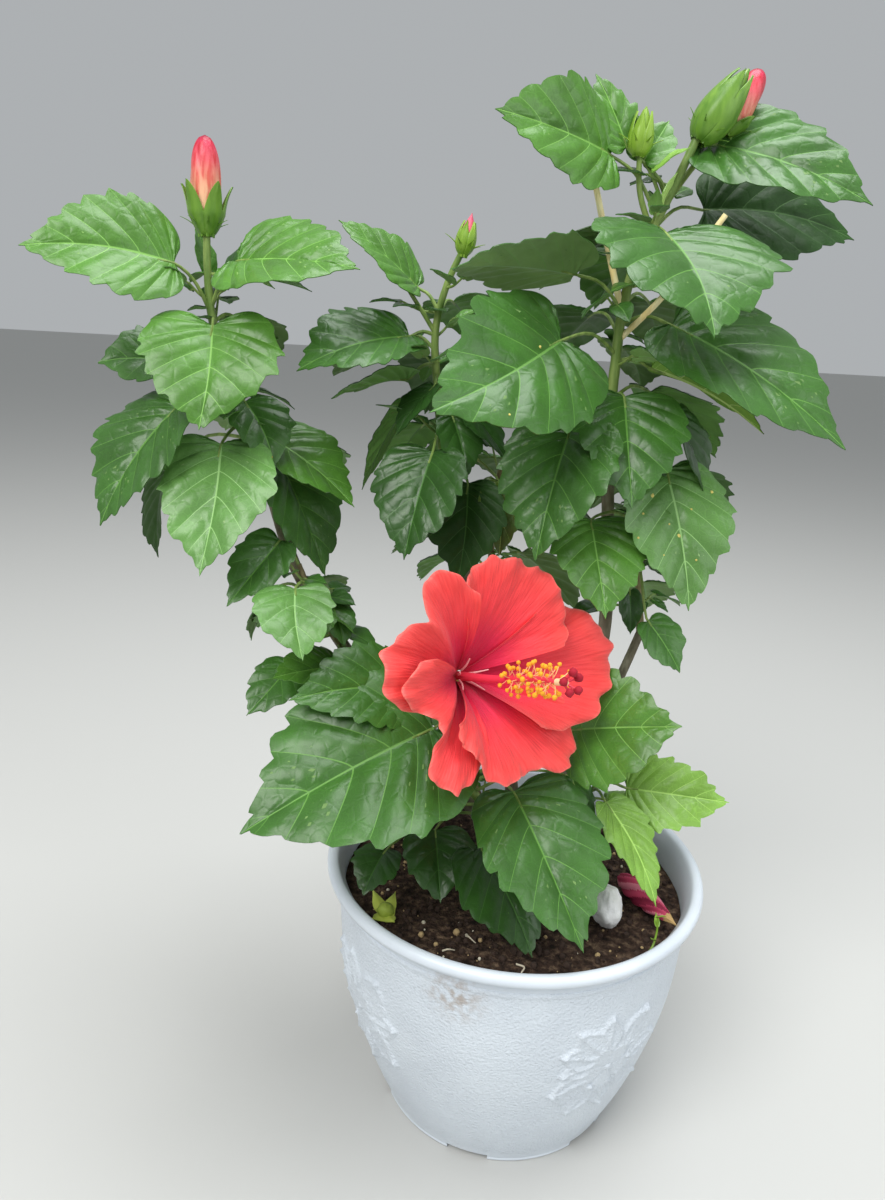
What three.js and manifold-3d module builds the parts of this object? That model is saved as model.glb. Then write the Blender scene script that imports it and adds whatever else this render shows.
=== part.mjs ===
// A red hibiscus shrub growing in a round white pot. Millimetres, +Z up, the viewer looks along +Y.
// The origin is the middle of the pot's underside.

import * as THREE from "three";
import { mergeVertices } from "three/addons/utils/BufferGeometryUtils.js";
import Module from "manifold-3d";

const wasm = await Module();
wasm.setup();

// Clearance between pieces that touch
const GAP = 0.3;

// Pot: its wall and rim are outlines of [radius, height]
const POT_HEIGHT = 170;
const POT_SIDES = 36;
const WALL = 2.6;
const FLOOR = 8;
const FOOT_RADIUS = 76;
const POT_WALL = [[77.5, 1.5], [91, 35], [104.5, 82], [109, 108], [111, 135], [112, 162]];
const POT_RIM = [[119, 162.5], [120, 167.8], [117.5, POT_HEIGHT], [114.5, POT_HEIGHT], [112.5, 167.8]];
const FLOOR_RADIUS = 77.9;
const DRAIN = { count: 6, turn: 14, start: 28, end: 120, width: 26, height: 4.5, holeAt: 52, hole: 6.5 };

// Soil
const SOIL_TOP = 151;
const SOIL_EDGE = 148;
const SOIL_FLAT = 24;
const SOIL_RADIUS = 108.4;

// Limbs: each is a run of points from its root to its tip, with its radius at both ends
const LIMBS = {
  trunk: {
    path: [[-2, 9, SOIL_TOP + GAP], [-2, 9, 158], [-1, 9, 168], [0, 10, 184]],
    root: 8.2, tip: 6.2, flare: 4, sides: 10, steps: 7,
  },
  left_bough: {
    path: [[-1, 9, 164], [-22, 5, 190], [-66, -2, 246], [-104, -6, 296], [-140, -4, 350], [-158, -2, 400]],
    root: 4.8, tip: 3.3, sides: 7, steps: 8,
  },
  middle_bough: {
    path: [[0, 10, 180], [-8, 15, 238], [-26, 18, 305], [-46, 17, 365], [-58, 14, 412]],
    root: 4.4, tip: 3.1, sides: 7, steps: 6,
  },
  right_bough: {
    path: [[0, 9, 168], [20, 6, 204], [36, 3, 262], [43, 0, 328], [38, 0, 392], [33, 0, 438]],
    root: 4.8, tip: 3.4, sides: 7, steps: 7,
  },
  rear_bough: {
    path: [[0, 10, 172], [-4, 34, 214], [-12, 58, 268], [-18, 70, 318]],
    root: 4, tip: 2.8, sides: 6, steps: 5,
  },
  rear_right_bough: {
    path: [[0, 10, 166], [26, 32, 196], [58, 50, 250], [78, 56, 306]],
    root: 4, tip: 2.8, sides: 6, steps: 5,
  },
};

// Leaves
const LEAF_THICKNESS = 0.012;
const THINNEST_LEAF = 0.8;
const SMALL_LEAF = 50;
const HEART = 0.09;
const EGG = 0.45;
const POINTED = 0.4;
const NOTCH = 0.07;
const TOOTH = 0.07;
const WIDEST = 0.93;
const VEIN_SWEEP = 1.15;
const GOLDEN_ANGLE = 137.5;
const PETIOLE_RADIUS = 1.3;
const STALK_ARCH = 0.16;

// Buds: how far down a bud is widest, how blunt it is, and how many steps its side has
const BUD_BELLY = 0.7;
const BUD_BLUNT = 0.65;
const BUD_STEPS = 4;

// Bloom: it faces down its heading, and its petals stand round it from the right upwards. Each petal has
// its middle, how far it spreads to both sides, and how far its edge reaches from one side to the other
const BLOOM = { throat: [-44, -60, 314], heading: -53, pitch: 17, depth: 32, column: 82 };
const PETALS = [
  { middle: -7, spread: 48, reach: [36, 51, 67, 77, 86, 83, 76, 63, 46] },
  { middle: 60, spread: 48, reach: [46, 57, 61, 65, 64, 63, 61, 54, 40] },
  { middle: 148, spread: 48, reach: [44, 61, 65, 53, 60, 66, 66, 58, 38] },
  { middle: 208, spread: 52, reach: [40, 56, 56, 44, 43, 59, 62, 56, 38] },
  { middle: 277, spread: 64, reach: [33, 40, 43, 54, 55, 58, 73, 65, 46] },
];
const PETAL = { start: 3, flare: 1.7, ruffle: 2, waves: 7, lap: 4.5, thickness: 1.1, rows: 3 };
const COLUMN = { root: 3.4, tip: 1.2, behind: 3 };
const ANTHER = { count: 6, from: 0.5, to: 0.88, long: 7, lean: 2, root: 0.9, tip: 1.3 };
const PAD = { count: 5, long: 6, lean: 7, root: 0.8, tip: 1.9 };
const CALYX = { long: 16, radius: 6.5, foot: 2.6 };
const BLOOM_STALK = { path: [[-50, -6, 266], [-58, -10, 282], [-62, -26, 300]], root: 1.9, tip: 2 };

// What lies on the soil
const WHITE_STONE = { size: [10, 15, 12], place: [55, -40, SOIL_TOP + 10.9] };
const WITHERED_FLOWER = { base: [71, -2, 156.6], aim: [-62, 0], long: 53, radius: 7.5 };
const FALLEN_CALYX = { base: [-89, -30, 154.2], aim: [-59, 0], long: 32, radius: 5 };

// Colours
const GREEN = 0x4f7f35;
const PALE_GREEN = 0x86ab3f;
const STEM_GREEN = 0x8aa84e;
const BARK = 0x8b7a62;
const WHITE = 0xd5dde2;
const EARTH = 0x3a2a22;
const RED = 0xee3a42;
const WITHERED = 0x9c3350;
const STONE = 0xe9ebea;

// Vectors and solids

function vector(point) {
  return new THREE.Vector3(...point);
}

// The unit vector of a heading round +Z from +X, and a pitch above the level, in degrees
function towards(heading, pitch) {
  const turn = THREE.MathUtils.degToRad(heading);
  const rise = THREE.MathUtils.degToRad(pitch);
  return new THREE.Vector3(Math.cos(rise) * Math.cos(turn), Math.cos(rise) * Math.sin(turn), Math.sin(rise));
}

// A repeatable number from 0 to 1 for each seed
function chance(seed) {
  const wave = Math.sin(seed * 12.9898) * 43758.5453;
  return wave - Math.floor(wave);
}

function solid(geometry) {
  const bare = geometry.clone();
  bare.deleteAttribute("normal");
  bare.deleteAttribute("uv");
  const merged = mergeVertices(bare, 1e-4);
  return new wasm.Manifold(new wasm.Mesh({
    numProp: 3,
    vertProperties: new Float32Array(merged.attributes.position.array),
    triVerts: new Uint32Array(merged.index.array),
  }));
}

function fuse(solids) {
  return solids.reduce((whole, piece) => whole.add(piece));
}

// The largest body of a solid, so that no loose scrap stays beside it
function largest(shape) {
  return shape.decompose().reduce((best, body) => (body.volume() > best.volume() ? body : best));
}

function meshOf(name, shape, color, roughness) {
  const made = shape.getMesh();
  const geometry = new THREE.BufferGeometry();
  geometry.setAttribute("position", new THREE.BufferAttribute(new Float32Array(made.vertProperties), 3));
  geometry.setIndex(new THREE.BufferAttribute(new Uint32Array(made.triVerts), 1));
  geometry.computeVertexNormals();
  const mesh = new THREE.Mesh(geometry, new THREE.MeshStandardMaterial({ color, roughness, metalness: 0 }));
  mesh.name = name;
  return mesh;
}

// Stems

// A tube along a curve that tapers from its root to its tip, with an optional flare at the root
function limb({ path, root, tip, flare = 0 }, sides, steps, grow = 0) {
  const curve = new THREE.CatmullRomCurve3(path.map(vector));
  const frames = curve.computeFrenetFrames(steps, false);
  const tube = new THREE.CylinderGeometry(1, 1, 1, sides, steps);
  const place = tube.getAttribute("position");
  for (let i = 0; i < place.count; i++) {
    const step = Math.round((place.getY(i) + 0.5) * steps);
    const share = step / steps;
    const radius = root + (tip - root) * share + flare * (1 - share) ** 4 + grow;
    const point = curve.getPointAt(share)
      .addScaledVector(frames.binormals[step], place.getX(i) * radius)
      .addScaledVector(frames.normals[step], place.getZ(i) * radius);
    if (grow && share === 0) point.addScaledVector(frames.tangents[step], -grow);
    if (grow && share === 1) point.addScaledVector(frames.tangents[step], grow);
    place.setXYZ(i, point.x, point.y, point.z);
  }
  return solid(tube);
}

// Sheets: leaves, petals and sepals

// A sheet of triangles made into a closed plate: the same sheet behind it, and a wall round its edge
function plate(points, faces, offset) {
  const count = points.length;
  const corners = [...points, ...points.map((point) => point.clone().add(offset))];
  const edges = new Set();
  for (const [a, b, c] of faces) {
    for (const [from, to] of [[a, b], [b, c], [c, a]]) edges.add(from + " " + to);
  }
  const skin = [];
  for (const [a, b, c] of faces) {
    skin.push(a, b, c, c + count, b + count, a + count);
    for (const [from, to] of [[a, b], [b, c], [c, a]]) {
      if (edges.has(to + " " + from)) continue;
      skin.push(to, from, from + count, to, from + count, to + count);
    }
  }
  const geometry = new THREE.BufferGeometry().setFromPoints(corners);
  geometry.setIndex(skin);
  return solid(geometry);
}

// The leaf's outline as shares of its length and half width, from the notch at its base to its tip
function margin(share) {
  const turn = Math.PI * share;
  const lobe = share < 1 / 3 ? HEART * Math.sin(3 * turn) : 0;
  return {
    along: (1 - Math.cos(turn)) / 2 - lobe,
    across: Math.sin(turn) * (1 + EGG * Math.cos(turn)) * (1 - POINTED * share ** 4) * WIDEST,
  };
}

// A leaf blade, named by its base, the way it points, its length, its roll about the midrib and its shape
function leaf(base, [heading, pitch], long, roll = 0, shape = {}) {
  const { wide = 0.8, fold = 12, arch = 0.05, rows = long < SMALL_LEAF ? 4 : 5 } = shape;
  return { base: vector(base), heading, pitch, long, roll, wide, fold, arch, rows };
}

function leafAxes({ heading, pitch, roll }) {
  const forward = towards(heading, pitch);
  const up = towards(heading, pitch + 90).applyAxisAngle(forward, THREE.MathUtils.degToRad(roll));
  return { forward, up, side: new THREE.Vector3().crossVectors(forward, up) };
}

function thicknessOf({ long }) {
  return Math.max(THINNEST_LEAF, LEAF_THICKNESS * long);
}

// The blade's upper face, arched along the midrib and folded up to both sides of it
function bladePoint(made, along, across, lift = 0) {
  const { base, long, fold, arch } = made;
  const { forward, up, side } = leafAxes(made);
  const rise = Math.abs(across) * Math.tan(THREE.MathUtils.degToRad(fold));
  return base.clone()
    .addScaledVector(forward, along * long)
    .addScaledVector(side, across)
    .addScaledVector(up, 4 * arch * along * (1 - along) * long + rise + lift);
}

// Where the side vein of a row leaves the midrib, and where it meets the margin
function rowOf(made, row) {
  const share = NOTCH + (1 - NOTCH) * row / made.rows;
  const edge = margin(share);
  const tooth = row > 1 ? 1 + TOOTH * (row % 2 ? -1 : 1) : 1;
  const middle = row ? ((1 - Math.cos(Math.PI * share)) / 2) ** VEIN_SWEEP : 0;
  return { middle, along: edge.along, across: edge.across * tooth * made.wide * made.long / 2 };
}

function blade(made, extra = 0) {
  const { rows } = made;
  const points = [];
  const faces = [];
  for (let row = 0; row < rows; row++) {
    const { middle, along, across } = rowOf(made, row);
    points.push(
      bladePoint(made, along, -across, extra),
      bladePoint(made, middle, 0, extra),
      bladePoint(made, along, across, extra),
    );
  }
  points.push(bladePoint(made, 1, 0, extra));
  const tip = points.length - 1;
  for (let row = 0; row < rows; row++) {
    const [left, mid, right] = [3 * row, 3 * row + 1, 3 * row + 2];
    if (row === rows - 1) {
      faces.push([mid, right, tip], [mid, tip, left]);
      continue;
    }
    faces.push([mid, right, right + 3], [mid, right + 3, mid + 3]);
    faces.push([mid, left + 3, left], [mid, mid + 3, left + 3]);
  }
  return plate(points, faces, leafAxes(made).up.multiplyScalar(-thicknessOf(made) - 2 * extra));
}

// The stalk of a leaf: out of its stem, up a little, then into the blade
function petiole(made, from, extra = 0) {
  const half = thicknessOf(made) / 2;
  const neck = bladePoint(made, 0, 0, -half);
  const inside = bladePoint(made, rowOf(made, 1).middle, 0, -half);
  const knee = from.clone().lerp(neck, 0.5).add(new THREE.Vector3(0, 0, STALK_ARCH * neck.distanceTo(from)));
  const path = [from, knee, neck, inside].map((point) => point.toArray());
  return limb({ path, root: PETIOLE_RADIUS, tip: 0.6 * half }, 3, 2, extra);
}

// Leaves that the rule adds round a stem: a golden angle apart, each long and low by its own chance
function ruledLeaves(curve, { count, seed, start, end, long, stalk, droop, heading = 0, spread = 360 }) {
  const made = [];
  for (let i = 0; i < count; i++) {
    const pick = (draw) => chance(seed + 7.31 * i + 1.7 * draw);
    const share = start + (end - start) * (i + 0.5) / count;
    const turn = heading + spread * (((seed * 0.37 + i * GOLDEN_ANGLE / 360) % 1) - 0.5);
    const out = towards(turn, 25 - 20 * pick(1));
    const base = curve.getPointAt(share).addScaledVector(out, stalk * (0.75 + 0.5 * pick(2)));
    const aim = [turn + 30 * (pick(3) - 0.5), -droop * (0.6 + 0.7 * pick(4))];
    const size = long * (0.75 + 0.4 * pick(5));
    made.push([share, leaf(base.toArray(), aim, size, 30 * (pick(6) - 0.5), { rows: 3 })]);
  }
  return made;
}

// Buds, stalks and the bloom

// A pointed bud, widest below its middle, along the way it points
function bud(base, [heading, pitch], long, radius, sides = 6) {
  const outline = [];
  for (let i = 0; i <= BUD_STEPS; i++) {
    const share = i / BUD_STEPS;
    const out = i % BUD_STEPS ? radius * Math.sin(Math.PI * share ** BUD_BELLY) ** BUD_BLUNT : 0;
    outline.push(new THREE.Vector2(out, share * long));
  }
  return aimed(new THREE.LatheGeometry(outline, sides), base, towards(heading, pitch));
}

// A cup of sepals round the foot of a bud or bloom
function calyx(base, [heading, pitch], long, radius) {
  const cup = new THREE.CylinderGeometry(radius, radius * 0.35, long, 5).translate(0, long / 2, 0);
  return aimed(cup, base, towards(heading, pitch));
}

// A shape made along +Y, turned to point a given way and moved to its base
function aimed(geometry, base, direction) {
  geometry.applyQuaternion(new THREE.Quaternion().setFromUnitVectors(new THREE.Vector3(0, 1, 0), direction));
  geometry.translate(...base);
  return solid(geometry);
}

function bloomOut() {
  return towards(BLOOM.heading, BLOOM.pitch);
}

// The way across the bloom's face at a turn from its right side, in degrees
function spoke(turn) {
  const right = towards(BLOOM.heading + 90, 0);
  return right.applyAxisAngle(bloomOut(), THREE.MathUtils.degToRad(turn));
}

// A point of the bloom, so far out along its column and so far to the side
function bloomPoint(out, turn = 0, aside = 0) {
  return vector(BLOOM.throat).addScaledVector(bloomOut(), out).addScaledVector(spoke(turn), aside);
}

// One petal: a fan that leaves the throat steeply, opens flat, is ruffled, and laps over the one before
function petal({ middle, spread, reach }) {
  const columns = reach.length - 1;
  const points = [];
  const faces = [];
  for (let row = 0; row <= PETAL.rows; row++) {
    const share = row / PETAL.rows;
    for (let column = 0; column <= columns; column++) {
      const across = 2 * column / columns - 1;
      const ruffle = PETAL.ruffle * share ** 2 * Math.sin(PETAL.waves * across + middle);
      const lift = BLOOM.depth * (1 - (1 - share) ** PETAL.flare) - PETAL.lap * across * share + ruffle;
      const aside = PETAL.start + (reach[column] - PETAL.start) * share;
      points.push(bloomPoint(lift, middle + spread * across, aside));
    }
  }
  const wide = columns + 1;
  for (let row = 0; row < PETAL.rows; row++) {
    for (let column = 0; column < columns; column++) {
      const corner = row * wide + column;
      faces.push([corner, corner + wide, corner + 1], [corner + 1, corner + wide, corner + wide + 1]);
    }
  }
  return plate(points, faces, bloomOut().multiplyScalar(-PETAL.thickness));
}

function rod(from, to, root, tip, sides) {
  return limb({ path: [from.toArray(), to.toArray()], root, tip }, sides, 1);
}

// Petals round a long column, which carries anthers along its end and five pads at its tip
function bloomSolid() {
  const end = BLOOM.column;
  const pieces = PETALS.map(petal);
  pieces.push(rod(bloomPoint(-COLUMN.behind), bloomPoint(end), COLUMN.root, COLUMN.tip, 6));
  for (let i = 0; i < ANTHER.count; i++) {
    const foot = end * (ANTHER.from + (ANTHER.to - ANTHER.from) * (i + 0.5) / ANTHER.count);
    const tip = bloomPoint(foot + ANTHER.lean, i * GOLDEN_ANGLE, ANTHER.long);
    pieces.push(rod(bloomPoint(foot), tip, ANTHER.root, ANTHER.tip, 3));
  }
  for (let i = 0; i < PAD.count; i++) {
    const tip = bloomPoint(end - PAD.root + PAD.lean, 360 / PAD.count * i, PAD.long);
    pieces.push(rod(bloomPoint(end - 2 * PAD.root), tip, PAD.root, PAD.tip, 4));
  }
  return fuse(pieces);
}

// The stalk that bears the bloom, and the cup of sepals behind it
function bloomStalkSolid() {
  const back = bloomPoint(-COLUMN.behind - GAP);
  const foot = bloomPoint(-COLUMN.behind - GAP - CALYX.long);
  const cup = new THREE.CylinderGeometry(CALYX.radius, CALYX.foot, CALYX.long, 5);
  const path = [...BLOOM_STALK.path, foot.clone().lerp(back, 0.25).toArray()];
  return fuse([
    limb({ ...BLOOM_STALK, path }, 6, 6),
    aimed(cup, foot.clone().lerp(back, 0.5).toArray(), bloomOut()),
  ]);
}

// Pot and soil

function lathe(outline) {
  const turned = new THREE.LatheGeometry(outline.map((point) => new THREE.Vector2(...point)), POT_SIDES);
  return solid(turned.rotateX(Math.PI / 2));
}

// The pot's inner wall from the floor up, set in by some clearance
function innerWall(clearance) {
  const wall = POT_WALL.slice(1).map(([radius, height]) => [radius - WALL - clearance, height]);
  return [[0, FLOOR + clearance], [FLOOR_RADIUS - clearance, FLOOR + clearance], ...wall];
}

// One channel across the underside, from the flat middle to the edge, with a hole up through the floor
function drain(number) {
  const long = DRAIN.end - DRAIN.start;
  const turn = THREE.MathUtils.degToRad(DRAIN.turn + 360 / DRAIN.count * number);
  const channel = new THREE.BoxGeometry(long, DRAIN.width, 2 * DRAIN.height)
    .translate(DRAIN.start + long / 2, 0, 0)
    .rotateZ(turn);
  const hole = new THREE.CylinderGeometry(DRAIN.hole, DRAIN.hole, 3 * FLOOR, 8)
    .rotateX(Math.PI / 2)
    .translate(DRAIN.holeAt, 0, 0)
    .rotateZ(turn);
  return solid(channel).add(solid(hole));
}

function potSolid() {
  let pot = lathe([[0, 0], [FOOT_RADIUS, 0], ...POT_WALL, ...POT_RIM, ...innerWall(0).reverse()]);
  for (let i = 0; i < DRAIN.count; i++) pot = pot.subtract(drain(i));
  return pot;
}

function soilSolid() {
  const side = innerWall(GAP).filter(([, height]) => height < SOIL_EDGE);
  return lathe([...side, [SOIL_RADIUS, SOIL_EDGE], [SOIL_FLAT, SOIL_TOP], [0, SOIL_TOP]]);
}

// What every leaf keeps clear of, each with the name of the node that holds it
const obstacles = [];
const plant = new THREE.Group();

function keepClear(owner, shape) {
  obstacles.push({ owner, shape });
}

function blocked(owner, pieces) {
  const others = obstacles.filter((obstacle) => obstacle.owner !== owner);
  return others.some(({ shape }) => pieces.some((piece) => shape.intersect(piece).volume() > 0));
}

function add(name, shape, color, roughness) {
  plant.add(meshOf(name, shape, color, roughness));
  keepClear(name, shape);
}

add("pot", potSolid(), WHITE, 0.45);
add("soil", soilSolid(), EARTH, 1);

// Each limb is cut clear of those before it
const grownLimbs = [];
for (const [name, made] of Object.entries(LIMBS)) {
  add(name, clearOfLimbs(limb(made, made.sides, made.steps)), BARK, 0.9);
  const grown = limb(made, made.sides, made.steps, GAP);
  grownLimbs.push(grown);
  keepClear(name, grown);
}

function clearOfLimbs(shape) {
  return grownLimbs.reduce((rest, other) => largest(rest.subtract(other)), shape);
}

// Masses of foliage

const MASSES = {
  left_head: {
    stem: {
      path: [[-158, -2, 400], [-169, -1, 432], [-181, 0, 462], [-189, 0, 491], [-191, 0, 515], [-191, 0, 540]],
      root: 3.1, tip: 1.9,
    },
    leaves: [
      [0.68, leaf([-204, -15, 518], [-156, 2], 73, -58, { wide: 0.8 })],
      [0.70, leaf([-173, -10, 521], [-20, -2], 72, 38, { wide: 0.95 })],
      [0.72, leaf([-177, 15, 514], [28, -6], 42)],
      [0.62, leaf([-181, -30, 488], [-90, -59], 59, 0, { wide: 1.2 })],
      [0.55, leaf([-214, -2, 468], [-163, -4], 36, -40, { wide: 1.1 })],
      [0.40, leaf([-203, -20, 446], [-145, -55], 77, -15)],
      [0.25, leaf([-179, -25, 427], [-91, -54], 77)],
      [0.35, leaf([-169, -12, 449], [-45, -49], 44, 10)],
      [0.24, leaf([-160, 0, 430], [-16, -33], 65, 20)],
      [0.16, leaf([-156, 5, 421], [-17, -65], 78, 10)],
      [0.20, leaf([-226, 25, 403], [180, -83], 55)],
      [0.74, leaf([-193, 10, 515], [150, 70], 26, 0, { wide: 0.6 })],
      [0.70, leaf([-183, 8, 508], [30, 60], 32, 0, { wide: 0.7 })],
    ],
    ruled: {
      count: 6, seed: 3, start: 0.1, end: 0.7,
      long: 56, stalk: 30, droop: 30, heading: 105, spread: 80,
    },
    extras: [bud([-191, 0, 536], [90, 90], 47, 8), calyx([-191, 0, 535], [90, 90], 20, 9.5)],
  },
  left_shoot: {
    stem: {
      path: [[-108, -6, 302], [-118, -14, 318], [-128, -20, 338], [-138, -18, 360]],
      root: 2.4, tip: 1.6,
    },
    leaves: [
      [0.95, leaf([-148, -20, 374], [-127, -39], 49, -30, { wide: 0.65 })],
      [0.80, leaf([-136, -40, 352], [-74, -38], 46, 0, { wide: 0.95 })],
      [0.60, leaf([-119, -18, 338], [-60, -45], 28)],
      [0.30, leaf([-112, -16, 322], [-20, -21], 24)],
      [0.30, leaf([-142, -20, 299], [-129, -34], 39, -20)],
      [0.20, leaf([-114, -16, 298], [-128, 8], 52, -30, { wide: 0.6 })],
      [0.20, leaf([-108, -14, 304], [-42, 5], 30, 30)],
      [0.70, leaf([-160, 8, 335], [180, -70], 34)],
    ],
    ruled: {
      count: 3, seed: 8, start: 0.3, end: 0.9,
      long: 44, stalk: 30, droop: 35, heading: 110, spread: 80,
    },
  },
  middle_head: {
    stem: {
      path: [[-58, 14, 412], [-63, 11, 450], [-67, 8, 491], [-62, 5, 515], [-54, 2, 534]],
      root: 2.9, tip: 1.7,
    },
    leaves: [
      [0.72, leaf([-78, 12, 514], [-160, 34], 54, -40, { wide: 0.7 })],
      [0.62, leaf([-81, 5, 488], [-148, -17], 69, -25)],
      [0.50, leaf([-81, 10, 465], [-143, -13], 51, 20, { wide: 0.7 })],
      [0.40, leaf([-83, 20, 449], [-156, -63], 55, 60, { wide: 0.35 })],
      [0.20, leaf([-65, -10, 427], [-112, -60], 64, 0, { wide: 0.85 })],
      [0.45, leaf([-66, 0, 462], [-150, -50], 35)],
      [0.35, leaf([-55, 0, 446], [-54, -60], 36, 10)],
      [0.38, leaf([-48, 6, 452], [-30, -45], 40, 10)],
      [0.10, leaf([-26, 8, 410], [-76, -76], 44, 0, { wide: 0.6 })],
      [0.08, leaf([-44, 6, 408], [-100, -74], 58)],
    ],
    ruled: {
      count: 5, seed: 5, start: 0.1, end: 0.75,
      long: 60, stalk: 34, droop: 34, heading: 85, spread: 90,
    },
    extras: [bud([-54, 2, 532], [0, 80], 20, 5.5), calyx([-54, 2, 531], [0, 80], 13, 6.5)],
  },
  right_head: {
    stem: {
      path: [[33, 0, 438], [33, 0, 478], [34, 0, 510], [40, 0, 538], [50, 0, 560], [64, 0, 596]],
      root: 3.2, tip: 2.1,
    },
    leaves: [
      [0.72, leaf([19, -5, 582], [-144, 6], 77, -70)],
      [0.76, leaf([28, -6, 586], [-154, 58], 36, 0, { wide: 0.6 })],
      [0.78, leaf([38, -8, 584], [-50, 60], 34, 0, { wide: 0.6 })],
      [0.76, leaf([71, 15, 594], [-24, -20], 92, 42, { wide: 0.72 })],
      [0.66, leaf([77, 25, 563], [9, -6], 92, 52, { wide: 0.75 })],
      [0.64, leaf([46, -30, 544], [-72, -42], 73, 0, { wide: 1.35 })],
      [0.38, leaf([59, -10, 501], [-25, -31], 111, 35, { wide: 0.7 })],
      [0.26, leaf([53, 0, 478], [-28, -25], 71, -40, { wide: 0.5, fold: 40 })],
      [0.42, leaf([6, -6, 524], [-143, -3], 82, 28, { wide: 0.66 })],
      [0.28, leaf([-1, -30, 490], [-135, -21], 98, -50)],
      [0.12, leaf([36, -20, 463], [-84, -57], 64, 0, { wide: 0.95 })],
      [0.08, leaf([9, -25, 447], [-116, -60], 77, 0, { wide: 0.85 })],
    ],
    ruled: {
      count: 6, seed: 11, start: 0.08, end: 0.7,
      long: 66, stalk: 36, droop: 30, heading: 80, spread: 90,
    },
    extras: [
      bud([64, 0, 593], [0, 58], 38, 9.5), calyx([64, 0, 592], [0, 58], 12, 7),
      bud([80, 12, 598], [20, 62], 36, 6.5),
      limb({ path: [[50, 0, 560], [64, 8, 580], [80, 12, 600]], root: 1.6, tip: 1.4 }, 5, 3),
      bud([33, -4, 586], [0, 88], 18, 4.5),
      limb({ path: [[44, 0, 548], [36, -2, 566], [33, -4, 588]], root: 1.6, tip: 1.4 }, 5, 3),
      limb({ path: [[33, 0, 508], [23, -2, 536], [13, -4, 566]], root: 1.9, tip: 1.6 }, 5, 2),
      limb({ path: [[34, 0, 492], [54, -8, 516], [73, -14, 547]], root: 1.7, tip: 1.5 }, 5, 2),
    ],
  },
  right_shoot: {
    stem: {
      path: [[41, 0, 366], [49, -4, 388], [58, -4, 412], [64, -2, 436]],
      root: 2.3, tip: 1.6,
    },
    leaves: [
      [0.98, leaf([70, 6, 455], [-20, -66], 62, 10)],
      [0.75, leaf([66, -8, 424], [-64, -65], 80, 10)],
      [0.40, leaf([25, -20, 395], [-78, -52], 58, 0, { wide: 0.95 })],
      [0.30, leaf([54, -6, 352], [-80, -70], 26, 0, { wide: 0.6 })],
      [0.30, leaf([62, -26, 340], [-30, -50], 34, 30)],
    ],
    ruled: {
      count: 4, seed: 14, start: 0.2, end: 0.9,
      long: 48, stalk: 28, droop: 30, heading: 95, spread: 80,
    },
  },
  front_shoot: {
    stem: {
      path: [[-2, 6, 172], [-22, -6, 205], [-42, -12, 238], [-50, -6, 266]],
      root: 3.4, tip: 2,
    },
    leaves: [
      [0.90, leaf([-72, -45, 292], [-148, -9], 68, -35, { wide: 0.75 })],
      [0.80, leaf([-56, -65, 285], [-152, -21], 113, -35, { wide: 0.9, rows: 6 })],
      [0.55, leaf([-9, -55, 244], [-58, -40], 92, 10, { wide: 0.8, rows: 6 })],
      [0.35, leaf([-25, -50, 204], [-50, -43], 66, 0, { wide: 0.95 })],
      [0.30, leaf([-81, -40, 192], [-116, -34], 30, 0, { wide: 1 })],
      [0.38, leaf([-52, -45, 210], [-81, -39], 42, 0, { wide: 1 })],
      [0.50, leaf([30, -21, 236], [-77, -52], 42, 0, { wide: 0.55 })],
      [0.75, leaf([24, -30, 272], [-29, 17], 66, 60, { wide: 1 })],
      [0.60, leaf([56, 0, 246], [-64, -74], 22)],
    ],
  },
  young_shoot: {
    stem: {
      path: [[3, 6, 168], [22, 0, 190], [38, -8, 214], [48, -12, 230]],
      root: 1.9, tip: 1.2,
    },
    leaves: [
      [0.95, leaf([63, -20, 231], [-9, -1], 61, 55, { wide: 0.75 })],
      [0.85, leaf([47, -42, 233], [-41, -52], 64, 10, { wide: 0.5 })],
    ],
    ruled: {
      count: 2, seed: 2, start: 0.3, end: 0.8,
      long: 34, stalk: 20, droop: 20, heading: 40, spread: 120,
    },
    color: PALE_GREEN,
  },
  rear_shoot: {
    stem: {
      path: [[-18, 70, 318], [-24, 74, 352], [-24, 74, 392], [-18, 70, 426]],
      root: 2.7, tip: 1.5,
    },
    ruled: {
      count: 9, seed: 21, start: 0.05, end: 1,
      long: 62, stalk: 32, droop: 38, heading: 90, spread: 150,
    },
  },
  rear_right_shoot: {
    stem: {
      path: [[78, 56, 306], [74, 60, 340], [70, 62, 380], [70, 60, 414]],
      root: 2.7, tip: 1.5,
    },
    ruled: {
      count: 9, seed: 35, start: 0.05, end: 1,
      long: 56, stalk: 28, droop: 36, heading: 95, spread: 120,
    },
  },
  rear_low_shoot: {
    stem: {
      path: [[-3, 12, 166], [-24, 36, 192], [-44, 52, 228], [-54, 58, 262]],
      root: 2.6, tip: 1.5,
    },
    ruled: {
      count: 8, seed: 31, start: 0.3, end: 1,
      long: 60, stalk: 30, droop: 30, heading: 120, spread: 260,
    },
  },
};

function massStem({ stem }, grow = 0) {
  return limb(stem, 6, stem.path.length, grow);
}

// A mass with more leaves: only those that touch neither a limb nor another mass
function leafed(name, shape, curve, leaves) {
  const pieces = [shape];
  for (const [share, made] of leaves) {
    const from = curve.getPointAt(share);
    if (blocked(name, [blade(made, GAP), petiole(made, from, GAP)])) continue;
    pieces.push(blade(made), petiole(made, from));
  }
  return largest(fuse(pieces));
}

for (const [name, made] of Object.entries(MASSES)) keepClear(name, massStem(made, GAP));

// The bloom comes before the leaves, so that they leave it room
const shootTip = massStem(MASSES.front_shoot, GAP);
add("bloom", bloomSolid(), RED, 0.5);
add("bloom_stalk", largest(bloomStalkSolid().subtract(shootTip)), STEM_GREEN, 0.6);

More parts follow.
